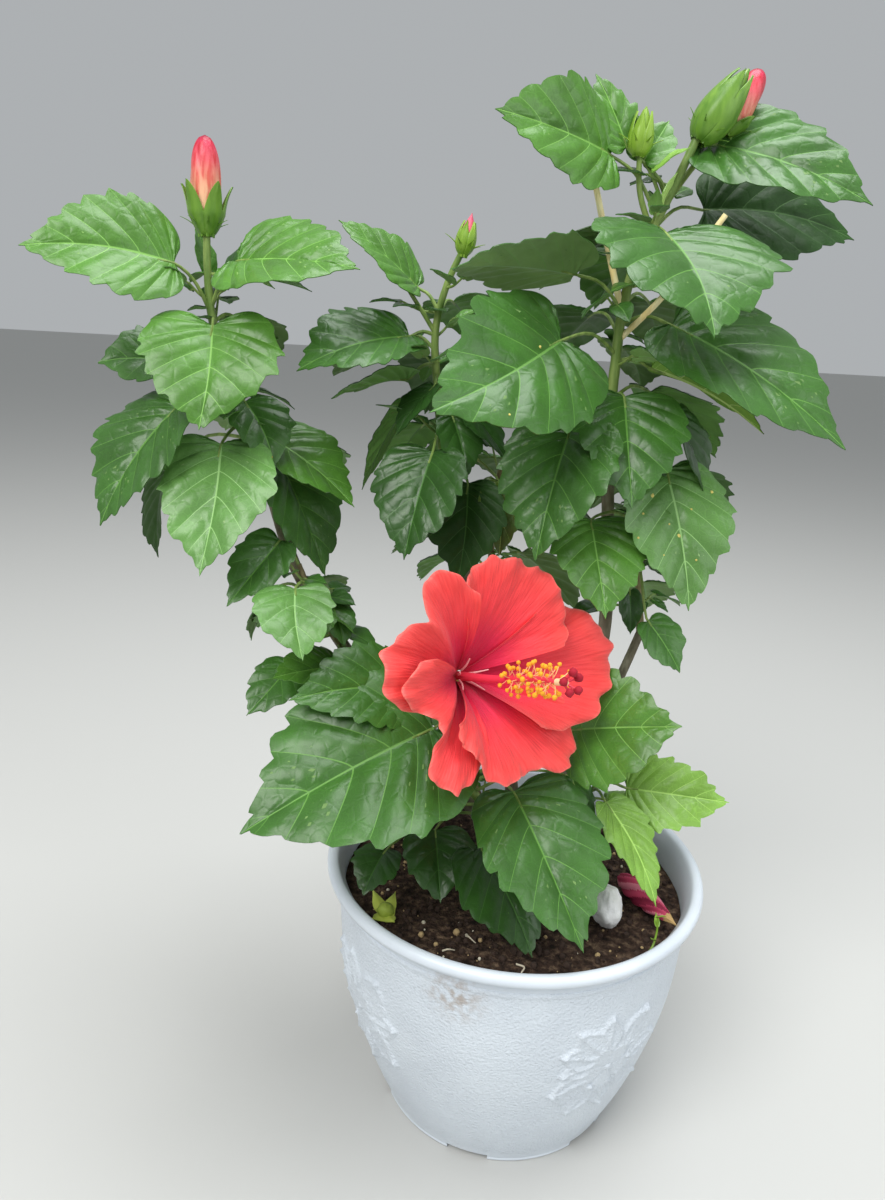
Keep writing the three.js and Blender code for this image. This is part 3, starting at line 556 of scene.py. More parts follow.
MASSES = {
    "left_head": growth(
        leaf(0.68, (-204, -15, 518), (-156, 2), 73, -58),
        leaf(0.70, (-173, -10, 521), (-20, -2), 72, 38, wide=0.95, quilt=DEEP_QUILT),
        leaf(0.72, (-177, 15, 514), (28, -6), 42),
        leaf(0.62, (-181, -30, 488), (-90, -59), 59, wide=1.2, heart=0.18),
        leaf(0.55, (-214, -2, 468), (-163, -4), 36, -40, wide=1.1),
        leaf(0.40, (-203, -20, 446), (-145, -55), 77, -15, quilt=DEEP_QUILT),
        leaf(0.25, (-179, -25, 427), (-91, -54), 77),
        leaf(0.35, (-169, -12, 449), (-45, -49), 44, 10, spots=((0.86, 0.3, 1.2),)),
        leaf(0.24, (-160, 0, 430), (-16, -33), 65, 20),
        leaf(0.16, (-156, 5, 421), (-17, -65), 78, 10),
        leaf(0.20, (-226, 25, 403), (180, -83), 55),
        leaf(0.74, (-193, 10, 515), (150, 70), 26, wide=0.6),
        leaf(0.70, (-183, 8, 508), (30, 60), 32, wide=0.7),
        tones="fresh fresh dark fresh mid mid pale mid fresh mid deep fresh mid",
        root=3.1, tip=1.9,
        path=((-158, -2, 400), (-169, -1, 432), (-181, 0, 462),
              (-189, 0, 491), (-191, 0, 515), (-191, 0, 540)),
        rule=dict(count=6, seed=3, start=0.1, end=0.7, long=56, stalk=30, droop=30, heading=105, spread=80)),
    "left_shoot": growth(
        leaf(0.95, (-148, -20, 374), (-127, -39), 49, -30, wide=0.65),
        leaf(0.80, (-136, -40, 352), (-74, -38), 46, wide=0.95),
        leaf(0.60, (-119, -18, 338), (-60, -45), 28),
        leaf(0.30, (-112, -16, 322), (-20, -21), 24),
        leaf(0.30, (-142, -20, 299), (-129, -34), 39, -20),
        leaf(0.20, (-114, -16, 298), (-128, 8), 52, -30, wide=0.6),
        leaf(0.20, (-108, -14, 304), (-42, 5), 30, 30),
        leaf(0.70, (-160, 8, 335), (180, -70), 34),
        tones="mid pale mid mid mid fresh pale mid",
        root=2.4, tip=1.6,
        path=((-108, -6, 302), (-118, -14, 318), (-128, -20, 338), (-138, -18, 360)),
        rule=dict(count=3, seed=8, start=0.3, end=0.9, long=44, stalk=30, droop=35, heading=110, spread=80,
                  without=(2,))),
    "middle_head": growth(
        leaf(0.72, (-78, 12, 514), (-160, 34), 54, -40, wide=0.7),
        leaf(0.62, (-81, 5, 488), (-148, -17), 69, -25),
        leaf(0.50, (-81, 10, 465), (-143, -13), 51, 20, wide=0.7),
        leaf(0.40, (-83, 20, 449), (-156, -63), 55, 60, wide=0.35),
        leaf(0.20, (-65, -10, 427), (-112, -60), 64, wide=0.85),
        leaf(0.45, (-66, 0, 462), (-150, -50), 35),
        leaf(0.35, (-55, 0, 446), (-54, -60), 36, 10),
        leaf(0.38, (-48, 6, 452), (-30, -45), 40, 10),
        leaf(0.10, (-26, 8, 410), (-76, -76), 44, wide=0.6),
        leaf(0.08, (-44, 6, 408), (-100, -74), 58),
        tones="fresh mid dark dark dark deep dark deep olive deep",
        root=2.9, tip=1.7,
        path=((-58, 14, 412), (-63, 11, 450), (-67, 8, 491), (-62, 5, 515), (-54, 2, 534)),
        rule=dict(count=5, seed=5, start=0.1, end=0.75, long=60, stalk=34, droop=34, heading=85, spread=90)),
    "right_head": growth(
        leaf(0.72, (19, -5, 582), (-144, 6), 77, -70, wide=0.68),
        leaf(0.76, (27, -3, 586), (158, 60), 40, -55, wide=0.6, tooth=DEEP_TOOTH, quilt=DEEP_QUILT),
        leaf(0.78, (36, -1, 580), (34, 54), 27, 40, wide=0.95, tooth=DEEP_TOOTH, quilt=DEEP_QUILT),
        leaf(0.78, (41, -6, 575), (-14, 34), 20, 20, wide=0.85, tooth=DEEP_TOOTH, quilt=DEEP_QUILT),
        leaf(0.76, (71, 15, 594), (-24, -20), 92, 42, wide=0.72, quilt=DEEP_QUILT),
        leaf(0.66, (77, 25, 563), (9, -6), 92, 52, wide=0.75),
        leaf(0.64, (46, -30, 544), (-72, -42), 73, wide=1.35),
        leaf(0.38, (59, -10, 501), (-25, -31), 111, 35, wide=0.7),
        leaf(0.26, (53, 0, 478), (-28, -25), 71, -40, wide=0.5, fold=40),
        leaf(0.42, (6, -6, 524), (-143, -3), 82, 28, wide=0.66),
        leaf(0.28, (-1, -30, 490), (-135, -21), 98, -50, heart=0.14,
             spots=((0.5, 0.2, 0.9), (0.7, -0.7, 0.8))),
        leaf(0.12, (36, -20, 463), (-84, -57), 64, wide=0.95),
        leaf(0.08, (9, -25, 447), (-116, -60), 77, wide=0.85, quilt=DEEP_QUILT),
        leaf(0.74, (46, -6, 556), (-30, 68), 20, wide=0.4, tooth=DEEP_TOOTH),
        leaf(0.74, (44, -7, 555), (-100, 50), 14, wide=0.5, tooth=DEEP_TOOTH),
        tones="fresh fresh fresh young mid deep mid mid olive mid mid mid mid young fresh",
        root=3.2, tip=2.1,
        path=((33, 0, 438), (33, 0, 478), (34, 0, 510), (40, 0, 538), (50, 0, 560), (64, 0, 596)),
        rule=dict(count=6, seed=11, start=0.08, end=0.7, long=66, stalk=36, droop=30, heading=80, spread=90)),
    "right_shoot": growth(
        leaf(0.98, (70, 6, 455), (-20, -66), 62, 10),
        leaf(0.75, (66, -8, 424), (-64, -65), 80, 10, spots=SCATTERED_SPOTS),
        leaf(0.40, (25, -20, 395), (-78, -52), 58, wide=0.95),
        leaf(0.30, (54, -6, 352), (-80, -70), 26, wide=0.6),
        leaf(0.30, (62, -26, 340), (-30, -50), 34, 30),
        tones="dark pale fresh dark mid",
        root=2.3, tip=1.6,
        path=((41, 0, 366), (49, -4, 388), (58, -4, 412), (64, -2, 436)),
        rule=dict(count=4, seed=14, start=0.2, end=0.9, long=48, stalk=28, droop=30, heading=95, spread=80,
                  without=(3,))),
    "front_shoot": growth(
        leaf(0.90, (-70, -45, 298), (-153, 3), 70, -42, wide=0.72),
        leaf(0.80, (-56, -65, 285), (-152, -21), 113, -35, wide=0.9, heart=0.13),
        leaf(0.55, (-9, -55, 244), (-58, -40), 92, 10),
        leaf(0.35, (-25, -50, 204), (-50, -43), 66, wide=0.95),
        leaf(0.30, (-81, -40, 192), (-116, -34), 30, wide=1),
        leaf(0.38, (-52, -45, 210), (-81, -39), 42, wide=1),
        leaf(0.50, (30, -21, 236), (-77, -52), 42, wide=0.55),
        leaf(0.75, (24, -30, 272), (-29, 17), 66, 60, wide=1),
        leaf(0.60, (56, 0, 246), (-64, -74), 22),
        tones="mid mid mid dark dark dark mid fresh dark",
        root=3.4, tip=2,
        path=((-2, 6, 172), (-22, -6, 205), (-42, -12, 238), (-50, -6, 266))),
    "young_shoot": growth(
        leaf(0.95, (63, -20, 231), (-9, -1), 61, 55, wide=0.75, tooth=DEEP_TOOTH),
        leaf(0.85, (47, -42, 233), (-41, -52), 64, 10, wide=0.5, tooth=DEEP_TOOTH),
        tones="young young",
        root=1.9, tip=1.2,
        path=((3, 6, 168), (22, 0, 190), (38, -8, 214), (48, -12, 230)),
        rule=dict(count=2, seed=2, start=0.3, end=0.8, long=34, stalk=20, droop=20, heading=40, spread=120,
                  without=(0,))),
    "rear_shoot": growth(
        root=2.7, tip=1.5,
        path=((-18, 70, 318), (-24, 74, 352), (-24, 74, 392), (-18, 70, 426)),
        rule=dict(count=9, seed=21, start=0.05, end=1, long=62, stalk=32, droop=38, heading=90, spread=150)),
    "rear_right_shoot": growth(
        root=2.7, tip=1.5,
        path=((78, 56, 306), (74, 60, 340), (70, 62, 380), (70, 60, 414)),
        rule=dict(count=9, seed=35, start=0.05, end=1, long=56, stalk=28, droop=36, heading=95, spread=120,
                  without=(2, 5))),
    "rear_low_shoot": growth(
        root=2.6, tip=1.5,
        path=((-3, 12, 166), (-24, 36, 192), (-44, 52, 228), (-54, 58, 262)),
        rule=dict(count=8, seed=31, start=0.3, end=1, long=60, stalk=30, droop=30, heading=120, spread=260,
                  without=(4,))),
}


# Looks of the leaves: the upper face, its veins and the underside of each tone

TONES = {
    "deep": ((42, 78, 28), (64, 102, 46), (76, 110, 58)),
    "dark": ((48, 86, 32), (66, 108, 46), (98, 142, 68)),
    "mid": ((64, 110, 42), (94, 142, 62), (106, 138, 78)),
    "fresh": ((82, 132, 48), (120, 170, 80), (122, 160, 86)),
    # The pale tone is a lighter, greyer copy of the leaf green: partly the leaves' own tone, partly painted
    # sheen, the glossy glare on the leaves that take it
    "pale": ((100, 148, 74), (140, 184, 112), (138, 170, 110)),
    "young": ((130, 176, 72), (160, 202, 100), (166, 200, 110)),
    "olive": ((92, 118, 46), (168, 196, 112), (112, 152, 62)),
}
TONE_ORDER = list(TONES)
RULED_TONES = ("dark", "mid", "deep", "mid")
TWIG_TONES = ("mid", "fresh", "dark")


def leaf_material(name, color, roughness, specular):
    """The upper face: mottled, with a fine net of veinlets in its colour and its relief."""
    look = Look(name, roughness, specular)
    mottle = look.ramp(look.noise(42, 2), (0.3, shade(color, 0.8)), (0.7, shade(color, 1.16)))
    veinlets = look.ramp(look.net(260), (0, 1), (0.07, 0.8), (0.3, 0.88))
    domes = look.ramp(look.net(120), (0, 0), (0.12, 0.6), (0.35, 1))
    look.bump(look.mix(0.4, domes, look.noise(240, 2)), 0.45, 0.0005)
    return look.paint(look.mix(1.0, mottle, veinlets, "MULTIPLY"))


def under_material(name, color):
    """The underside: dull and mottled, with a fine grain."""
    stops = (0.3, shade(color, 0.86)), (0.7, shade(color, 1.12))
    return mottled(name, 0.6, 0.25, (60, 3), stops, (300, 2), 0.3, 0.0005)


GLOSS = (0.34, 0.42)
DEEP_GLOSS = (0.5, 0.2)
leaf_materials = []
for tone, (top, vein, under) in TONES.items():
    leaf_materials += [
        leaf_material("leaf_" + tone, rgb(*top), *(DEEP_GLOSS if tone == "deep" else GLOSS)),
        plain("vein_" + tone, vein, 0.45, 0.35),
        under_material("under_" + tone, rgb(*under)),
    ]
BLEMISH = len(leaf_materials)
leaf_materials.append(plain("blemish", (206, 192, 104), 0.7))


def stalk_material(name, low, high, roughness):
    """A stem's skin, streaked along its way."""
    streaks = 240, 4, (1, 1, 0.2)
    return mottled(name, roughness, 0.4, streaks, ((0.35, low), (0.65, high)), streaks, 0.4, 0.0004)


green_stalk = stalk_material("green_stalk", (92, 122, 52), (136, 158, 84), 0.5)
brown_stem = stalk_material("brown_stem", (92, 82, 54), (138, 130, 88), 0.7)
straw = stalk_material("straw", (236, 212, 146), (252, 240, 190), 0.6)
STALK, STEM = 0, 1
WOODY = ("left_shoot", "right_shoot", "rear_shoot", "rear_right_shoot", "rear_low_shoot")
BARE = ("front_shoot",)


def twig_relief(point, out):
    return 0.06 * noise.noise(Vector(point * 0.35 + out * 0.9))


def side_twigs(stem, seed):
    """Short twigs a golden angle apart round a stem, each as its path and the small leaves along it."""
    grown = []
    for i in range(int(length_of(stem) / TWIG.every)):
        pick = chance(seed + 3.3 * i + 1.9 * np.arange(8))
        foot = at(stem, 0.12 + 0.8 * (i + 0.5) * TWIG.every / length_of(stem))
        heading = seed * 40 + i * GOLDEN_ANGLE
        way = towards(heading, 50 - 50 * pick[0])
        long = TWIG.shortest + (TWIG.longest - TWIG.shortest) * pick[1]
        path = [foot, foot + way * long * 0.5, foot + way * long + 0.15 * long * UP]
        leaves = []
        for number in range(2 + int(2 * pick[2])):
            share = 1 - 0.35 * number
            size = TWIG.smallest + (TWIG.largest - TWIG.smallest) * pick[3 + number] * share
            aim = (heading + (70 * number if i % 2 else -70 * number), 30 - 70 * pick[5])
            base = at(np.array(path), share) + towards(aim[0], 10) * 4
            leaves.append(leaf(share, base, aim, size, 50 * (pick[6] - 0.5), wide=0.62 + 0.2 * pick[7]))
        grown.append((path, leaves))
    return grown


def grow_leaf(blades, wood, item, tone, start, *ends):
    """A blade in the materials of its tone, and its stalk from where it starts."""
    first = 3 * TONE_ORDER.index(tone)
    blade(blades, item, (first, first + 1, first + 2))
    petiole(wood, item, start, STALK, *ends)


def grow_mass(name, made):
    """A mass of foliage: its stem, twigs and leaf stalks as one piece, and its blades as another."""
    wood = Stock(green_stalk, brown_stem)
    blades = Stock(*leaf_materials)
    stem = curve(made.path)
    young = name == "young_shoot"
    skin = STEM if name in WOODY else STALK
    tube(wood, made.path, made.root, made.tip, 12, 60, skin, relief=twig_relief)
    for item, tone in zip(made.leaves, made.tones.split()):
        grow_leaf(blades, wood, item, tone, at(stem, item.share))
    for number, item in enumerate(ruled_leaves(stem, **made.rule) if made.rule else ()):
        tone = "young" if young else RULED_TONES[number % len(RULED_TONES)]
        grow_leaf(blades, wood, item, tone, at(stem, item.share))
    grown = () if name in BARE else side_twigs(stem, len(name) + made.root)
    for number, (path, leaves) in enumerate(grown):
        tube(wood, path, TWIG.root, TWIG.tip, 7, 8, STALK)
        tone = "young" if young else TWIG_TONES[number % len(TWIG_TONES)]
        for item in leaves:
            grow_leaf(blades, wood, item, tone, at(np.array(path), item.share), TWIG.tip, 0.45)
    blades.make(name + "_leaves", name)
    wood.make(name + "_twigs", None)


for name, made in MASSES.items():
    grow_mass(name, made)


# Trunk and boughs with the relief of their bark

def bark_relief(point, out):
    crack = noise.noise(Vector((out[0] * 3.2, out[1] * 3.2, point[2] * 0.05)))
    ring = noise.noise(Vector((0, 7, point[2] * 0.3)))
    return 0.09 * crack + 0.05 * ring


bark = mottled("bark", 0.85, 0.3, (160, 6, (1, 1, 0.35)),
               ((0.3, (72, 66, 52)), (0.5, (116, 110, 92)), (0.72, (156, 152, 132))),
               (420, 5, (1, 1, 0.25)), 0.6, 0.0006)
BARK_STEP = 2.2
for name, made in LIMBS.items():
    stock = Stock(bark)
    steps = int(length_of(curve(made.path)) / BARK_STEP)
    tube(stock, made.path, made.root, made.tip, 20, steps, 0, made.flare, bark_relief)
    stock.make(name + "_bark", name)


# Bloom

BLOOM_OUT = towards(BLOOM_HEADING, BLOOM_PITCH)


def spoke(turn):
    """The way across the bloom's face at a turn from its right side, in degrees."""
    return turned(towards(BLOOM_HEADING + 90, 0), BLOOM_OUT, turn)


def bloom_point(out, turn=0, aside=0):
    return THROAT + BLOOM_OUT * out + spoke(turn) * aside


def reach_at(reach, across):
    """How far a petal's edge stands out, on a smooth curve through its named reaches."""
    run = np.array([2 * reach[0] - reach[1], *reach, 2 * reach[-1] - reach[-2]], float)
    place = np.clip((across + 1) / 2 * (len(reach) - 1), 0, len(reach) - 1.001)
    low = place.astype(int)
    return smooth([run[low + step] for step in range(4)], place - low)


def petal(stock, middle, spread, reach):
    """One petal: a fan that leaves the throat steeply, opens flat, and is ruffled and frilled at its rim."""
    share, across = sheet_grid(PETAL_ROWS, PETAL_COLUMNS)
    turn = np.radians(middle + spread * across) + 0 * share
    ruffle = 2 * share ** 2 * np.sin(11 * turn) + 1.2 * share ** 6 * np.sin(26 * turn + 1)
    ridges = 0.28 * np.sin(45 * turn) * share * (1 - 0.6 * share)
    crinkle = 0.5 * share * np.sin(31 * turn + 9 * share) * np.sin(15 * share + 5 * turn)
    rolled = crinkle - 0.8 * ramp(share, 0.92, 1) ** 2 + 0.6 * share ** 16 * np.sin(47 * turn)
    lift = BLOOM_DEPTH * (1 - (1 - share) ** PETAL_FLARE) - PETAL_LAP * across * share
    lift = lift + ruffle + ridges + rolled
    long = reach_at(reach, across) * (1 + share ** 6 * (0.016 * np.sin(23 * turn) + 0.01 * np.sin(41 * turn)))
    aside = PETAL_START + (long - PETAL_START) * share
    out = spoke(0) * np.cos(turn)[..., None] + spoke(90) * np.sin(turn)[..., None]
    points = THROAT + BLOOM_OUT * lift[..., None] + out * aside[..., None]
    fan = np.stack([np.broadcast_to(across / 2 + 0.5, lift.shape), np.broadcast_to(share, lift.shape)], -1)
    plate(stock, points, -BLOOM_OUT * PETAL_THICKNESS, PETAL_RED, uvs=fan.reshape(-1, 2))


def petal_material():
    """Coral red, deeper to a crimson throat, pale at the rim, with fine veins that fan out along it."""
    look = Look("petals", 0.5, 0.35)
    fan = look.node("UVMap", "UV", {}, uv_map="UVMap")
    across, out = (look.node("SeparateXYZ", axis, {"Vector": fan}) for axis in "XY")
    drawn = look.node("Math", "Value", {0: out, 1: 0.05}, operation="MULTIPLY")
    along = look.node("CombineXYZ", "Vector", {"X": across, "Y": drawn})
    veins = look.node("TexNoise", "Fac", {"Vector": along, "Scale": 84, "Detail": 4})
    depth = look.ramp(
        out, (0, (214, 0, 56)), (0.12, (216, 14, 72)), (0.3, (228, 34, 80)), (0.52, (240, 60, 72)),
        (0.85, (242, 68, 66)), (0.97, (244, 80, 76)), (1, (248, 112, 102)))
    lines = look.ramp(veins, (0.42, 1), (0.62, (0.84, 0.52, 0.58, 1)))
    look.bump(veins, 0.6, 0.0012)
    look.surface.inputs["Sheen Weight"].default_value = 0.15
    return look.paint(look.mix(0.6, depth, lines, "MULTIPLY"))


def ball(stock, centre, radius, slot, seed=0, rows=5, sides=7):
    """A small lumpy ball."""
    points = [centre - radius * UP]
    for row in range(1, rows):
        tilt = math.pi * row / rows
        for side in range(sides):
            turn = FULL_TURN * side / sides
            lump = radius * (0.86 + 0.28 * chance(seed + 3.1 * row + 1.3 * side))
            points.append(centre + lump * around(math.sin(tilt), turn, -math.cos(tilt)))
    points.append(centre + radius * UP)
    last = len(points) - 1
    faces = [tuple(1 + corner for corner in face) for face in lattice(rows - 1, sides, closed=True)]
    for side in range(sides):
        beside = (side + 1) % sides
        faces.append((0, 1 + beside, 1 + side))
        faces.append((last, last - sides + side, last - sides + beside))
    stock.add(points, faces, slot)


PETAL_RED, COLUMN_RED, FILAMENT, POLLEN, PAD_RED, RIDGE, COLUMN_TIP = range(7)
bloom = Stock(
    petal_material(), plain("column", (232, 58, 84), 0.45), plain("filament", (244, 176, 120), 0.5),
    plain("pollen", (242, 166, 34), 0.8), plain("stigma_pads", (160, 4, 36), 0.8),
    plain("throat_ridges", (250, 190, 190), 0.5), plain("column_tip", (240, 196, 150), 0.6))
for middle, spread, reach in PETALS:
    petal(bloom, middle, spread, reach)
for turn in THROAT_RIDGES:
    tube(bloom, [bloom_point(4, turn, 3.4), bloom_point(9, turn, 6), bloom_point(14, turn, 10)],
         0.7, 0.3, 6, 8, RIDGE)
column = ((-COLUMN_BEHIND, 0, 0), (30, 250, 0.6), (60, 80, 0.8), (COLUMN_LENGTH, 0, 0))
tube(bloom, [bloom_point(*place) for place in column], 2.6, 1.1, 14, 60, COLUMN_RED)
for i in range(ANTHERS):
    foot = COLUMN_LENGTH * (0.47 + 0.46 * (i + 0.5) / ANTHERS)
    turn = i * GOLDEN_ANGLE
    end = bloom_point(foot + 1 + 3 * chance(i + 9), turn, 4.5 + 5 * chance(i + 0.3))
    base = bloom_point(foot)
    tube(bloom, [base, (base + end) / 2 + BLOOM_OUT * 0.8, end], 0.3, 0.22, 4, 4, FILAMENT)
    ball(bloom, end, 1 + 0.45 * chance(i), POLLEN, i)
for i in range(PADS):
    turn = 360 / PADS * i + 18
    end = bloom_point(COLUMN_LENGTH + 5 + 2 * chance(i), turn, 5)
    path = [bloom_point(COLUMN_LENGTH - 1), bloom_point(COLUMN_LENGTH + 2, turn, 1.8), end]
    tube(bloom, path, 0.7, 0.55, 6, 6, COLUMN_RED)
    ball(bloom, end, 2.1, PAD_RED, i, 7, 10)
tube(bloom, [bloom_point(COLUMN_LENGTH - 5), bloom_point(COLUMN_LENGTH - 1), bloom_point(COLUMN_LENGTH + 2)],
     1.7, 1.5, 10, 6, COLUMN_TIP)
bloom.make("bloom_petals", "bloom", sharp=70)


# Buds, sepals and the bloom's stalk

def sepal(stock, base, out_way, up_way, long, wide, slot, curl=0.5):
    """A narrow pointed sheet that rises from its base and curls outward, with a keel down its middle."""
    share, across = sheet_grid(11, 7)
    side = unit(np.cross(out_way, up_way))
    half = wide / 2 * np.sin(math.pi * (0.12 + 0.86 * share)) ** 0.8 * (1 - share ** 3) + 0.12
    away = curl * long * share ** 2.2 - 0.25 * half * across ** 2 + 0.35 * np.exp(-(across / 0.15) ** 2)
    rise = long * share * (1 - 0.25 * curl * share) + 0 * across
    points = base + out_way * away[..., None] + up_way * rise[..., None] + side * (half * across)[..., None]
    plate(stock, points, out_way * -0.5, slot)


def sides_of(aim):
    """The way a bud points, and two ways across it."""
    up = towards(*aim)
    side = unit(np.cross(up, (0.2, 1, 0.1)))
    return up, side, np.cross(up, side)


def furled(stock, base, aim, long, radius, outline, strips, tip=None, folds=5, deep=0.1, twist=2.2):
    """A closed bud whose furled petals turn about its axis, in strips of the given materials."""
    up, side, across = sides_of(aim)
    rows, sides = 34, 56
    rings = []
    for share in np.linspace(0, 1, rows):
        ring = []
        for turn in even_turns(sides):
            fold = 1 + deep * abs(math.cos(folds / 2 * (turn + twist * share))) ** 0.6 - deep
            far = max(radius * outline(share), 0.25) * fold
            ring.append(base + up * long * share + (side * math.cos(turn) + across * math.sin(turn)) * far)
        rings.append(ring)
    slots = []
    for row in range(rows - 1):
        for column in range(sides):
            place = (column / sides * folds + twist * row / rows * folds / FULL_TURN) % folds
            kind = strips[int(place / folds * len(strips))]
            slots.append(tip if tip is not None and row > 0.82 * rows else kind)
    stock.add_rings(rings, [*slots, slots[0], slots[-1]])


def cup_sepals(stock, base, aim, long, radius, outline, cover, joined, flare, slot):
    """Five pointed sepals pressed on a bud, side by side up to where they part, with tips that stand off."""
    up, side, beside = sides_of(aim)
    share, across = sheet_grid(15, 9)
    hug = np.array([radius * outline(cover * value) for value in share.ravel()])[:, None]
    far = 1.05 * hug + 0.6 + flare * share ** 3 + 0.45 * np.exp(-(across / 0.2) ** 2) - 0.25 * across ** 4
    half = SEPAL_TURN * np.minimum(1, (1 - share) / (1 - joined)) ** 0.8 + 0.02
    for turn in np.radians(np.arange(0, 360, 72)):
        angle = turn + half * across
        away = side * np.cos(angle)[..., None] + beside * np.sin(angle)[..., None]
        rise = cover * long * share - 1.2 + 0 * across
        points = base + away * far[..., None] + up * rise[..., None]
        plate(stock, points, away.mean((0, 1)) * -0.4, slot)


def sepals_round(stock, base, aim, count, long, wide, radius, slot, curl, turn=0):
    up, side, _ = sides_of(aim)
    for i in range(count):
        out = turned(side, up, turn + 360 / count * i)
        reach = long * (0.85 + 0.3 * chance(turn + i))
        sepal(stock, base + out * radius * 0.5, out, up, reach, wide, slot, curl)


def blunt(share):
    return (1 - share ** 5) ** 0.5 * min(1, 0.08 + 4 * share) ** 0.5


def pointed(share):
    return math.sin(math.pi * min(share, 0.985) ** 0.7)


def egg(share):
    return math.sin(math.pi * min(0.04 + 0.96 * share, 0.985) ** 0.7) ** 0.8


def streaked_bud(name, low, high):
    """The skin of a furled bud between two heights: cream below, red above, with red veins along it."""
    look = Look(name, 0.4, 0.4)
    height = look.node("SeparateXYZ", "Z", {"Vector": look.place()})
    share = look.node("MapRange", "Result", {"Value": height, "From Min": low * MM, "From Max": high * MM})
    ground = look.ramp(share, (0, (236, 206, 156)), (0.45, (232, 172, 136)), (0.72, (222, 96, 104)),
                       (0.9, (198, 48, 78)), (1, (100, 8, 38)))
    streaks = look.noise(430, 4, (1, 1, 0.16))
    veins = look.ramp(streaks, (0.44, 1), (0.6, (0.84, 0.3, 0.32, 1)))
    look.bump(streaks, 0.5, 0.0008)
    return look.paint(look.mix(0.85, ground, veins, "MULTIPLY"))


PINK_SKIN, LEFT_SKIN, REAR_SKIN, LIME, BUD_GREEN, STALK_SKIN, STRAW = range(7)
BUD_MATERIALS = (
    plain("bud_pink", (222, 96, 120), 0.45),
    streaked_bud("left_bud", 534, 583), streaked_bud("rear_bud", 580, 632),
    stalk_material("bud_lime", (118, 154, 46), (144, 178, 64), 0.4),
    stalk_material("bud_green", (84, 126, 38), (112, 152, 54), 0.4), green_stalk, straw)
buds = Stock(*BUD_MATERIALS)
BUDS = (
    ((-191, 0, 534), (90, 89), 48, 8.2, blunt, (LEFT_SKIN,), 0.54, 0.4, 5, BUD_GREEN),
    ((-54, 2, 531), (0, 80), 21, 4.6, pointed, (PINK_SKIN,), 0.86, 0.6, 1, LIME),
    ((64, 0, 592), (0, 58), 39, 9, egg, (LIME, BUD_GREEN), 0.98, 0.72, 3, BUD_GREEN),
    ((80, 12, 598), (20, 62), 36, 7.6, blunt, (REAR_SKIN,), 0.35, 0.4, 2, BUD_GREEN),
    ((33, -4, 583), (0, 86), 22, 5.4, egg, (LIME,), 0.95, 0.5, 2.5, LIME),
)
for base, aim, long, radius, outline, strips, cover, joined, flare, skin in BUDS:
    base = np.array(base, float)
    furled(buds, base, aim, long, radius, outline, strips)
    cup_sepals(buds, base, aim, long, radius, outline, cover, joined, flare, skin)
    sepals_round(buds, base - towards(*aim) * 1.5, aim, 7, 11, 2, radius, skin, 0.8, 20)
TWIG_PATHS = (
    (((50, 0, 560), (64, 8, 580), (80, 12, 600)), 1.6, 1.4, STALK_SKIN),
    (((44, 0, 548), (36, -2, 566), (33, -4, 588)), 1.6, 1.4, STALK_SKIN),
    (((33, 0, 508), (23, -2, 536), (13, -4, 566)), 1.9, 1.6, STRAW),
    (((34, 0, 492), (54, -8, 516), (78, -17, 555)), 1.7, 1.5, STRAW),
    (((-67, 8, 490), (-74, 5, 500), (-82, 2, 511)), 1.4, 1.1, STALK_SKIN),
)
for path, root, tip, skin in TWIG_PATHS:
    tube(buds, path, root, tip, 9, 24, skin, relief=twig_relief)
buds.make("buds", None)

stalk = Stock(green_stalk, BUD_MATERIALS[LIME])
back = bloom_point(-COLUMN_BEHIND - GAP)
foot = bloom_point(-COLUMN_BEHIND - GAP - 16)
tube(stalk, [(-50, -6, 266), (-58, -10, 282), (-62, -26, 300), foot * 0.75 + back * 0.25], 1.9, 2, 12, 40, 0)
aim = (BLOOM_HEADING, BLOOM_PITCH)
sepals_round(stalk, foot, aim, 5, 17, 9, 6, 1, 0.25)
sepals_round(stalk, foot, aim, 6, 9, 1.8, 4.5, 1, 0.8, 15)
stalk.make("bloom_stalk_green", "bloom_stalk")


# Pot

def lathe(stock, outline, turns, slot, move=None):
    """A turned closed form; move gives how far the wall stands out at its turns, for each height."""
    rows = []
    for radius, height in outline:
        grown = radius + (move(turns, height) if move else 0)
        rows.append(np.stack([grown * np.cos(turns), grown * np.sin(turns), height + 0 * turns], -1))
    stock.add(rows, lattice(len(outline), len(turns), closed=True, looped=True), slot)


def pot_material(name, roughness, *grain):
    """White plastic with a few dark specks and a smudge of dirt, and with the grain of its mould."""
    look = Look(name, roughness, 0.45)
    clean = look.ramp(look.noise(26, 6), (0.3, (213, 221, 229)), (0.75, (201, 209, 218)))
    specks = look.ramp(look.noise(260, 2), (0.78, 1), (0.82, 0.55))
    spotted = look.mix(0.6, clean, specks, "MULTIPLY")
    near = look.ramp(look.distance(SMUDGE), (0.004, 0.6), (0.021, 0))
    streaks = look.ramp(look.noise(190, 6), (0.42, 0), (0.62, 1))
    scale, strength, depth = grain
    look.bump(look.noise(scale, 2), strength, depth)
    return look.paint(look.mix(look.mix(1.0, near, streaks, "MULTIPLY"), spotted, rgb(142, 112, 76)))


def smooth_outline(outline, step):
    points = curve([(radius, 0, height) for radius, height in outline], 400)
    points = curve([*points[::40], points[-1]], int(length_of(points) / step))
    return [(point[0], point[2]) for point in points]


# The raised ornament: blossoms and leaves, in millimetres from its middle, each over those before it
ORNAMENT_LEAVES = (
    (8, 8, 52, 26), (12, 0, 14, 25), (8, -8, -30, 26), (0, -10, -76, 24), (-6, -10, -118, 24),
    (-8, -4, -156, 25), (-2, 8, 92, 25), (-6, 8, 200, 24), (-4, 8, 168, 27), (-4, 8, 134, 27),
)
BLOSSOMS = ((20, 15, 10), (18, -13, 10), (-15, -16, 10), (1, -1, 15))


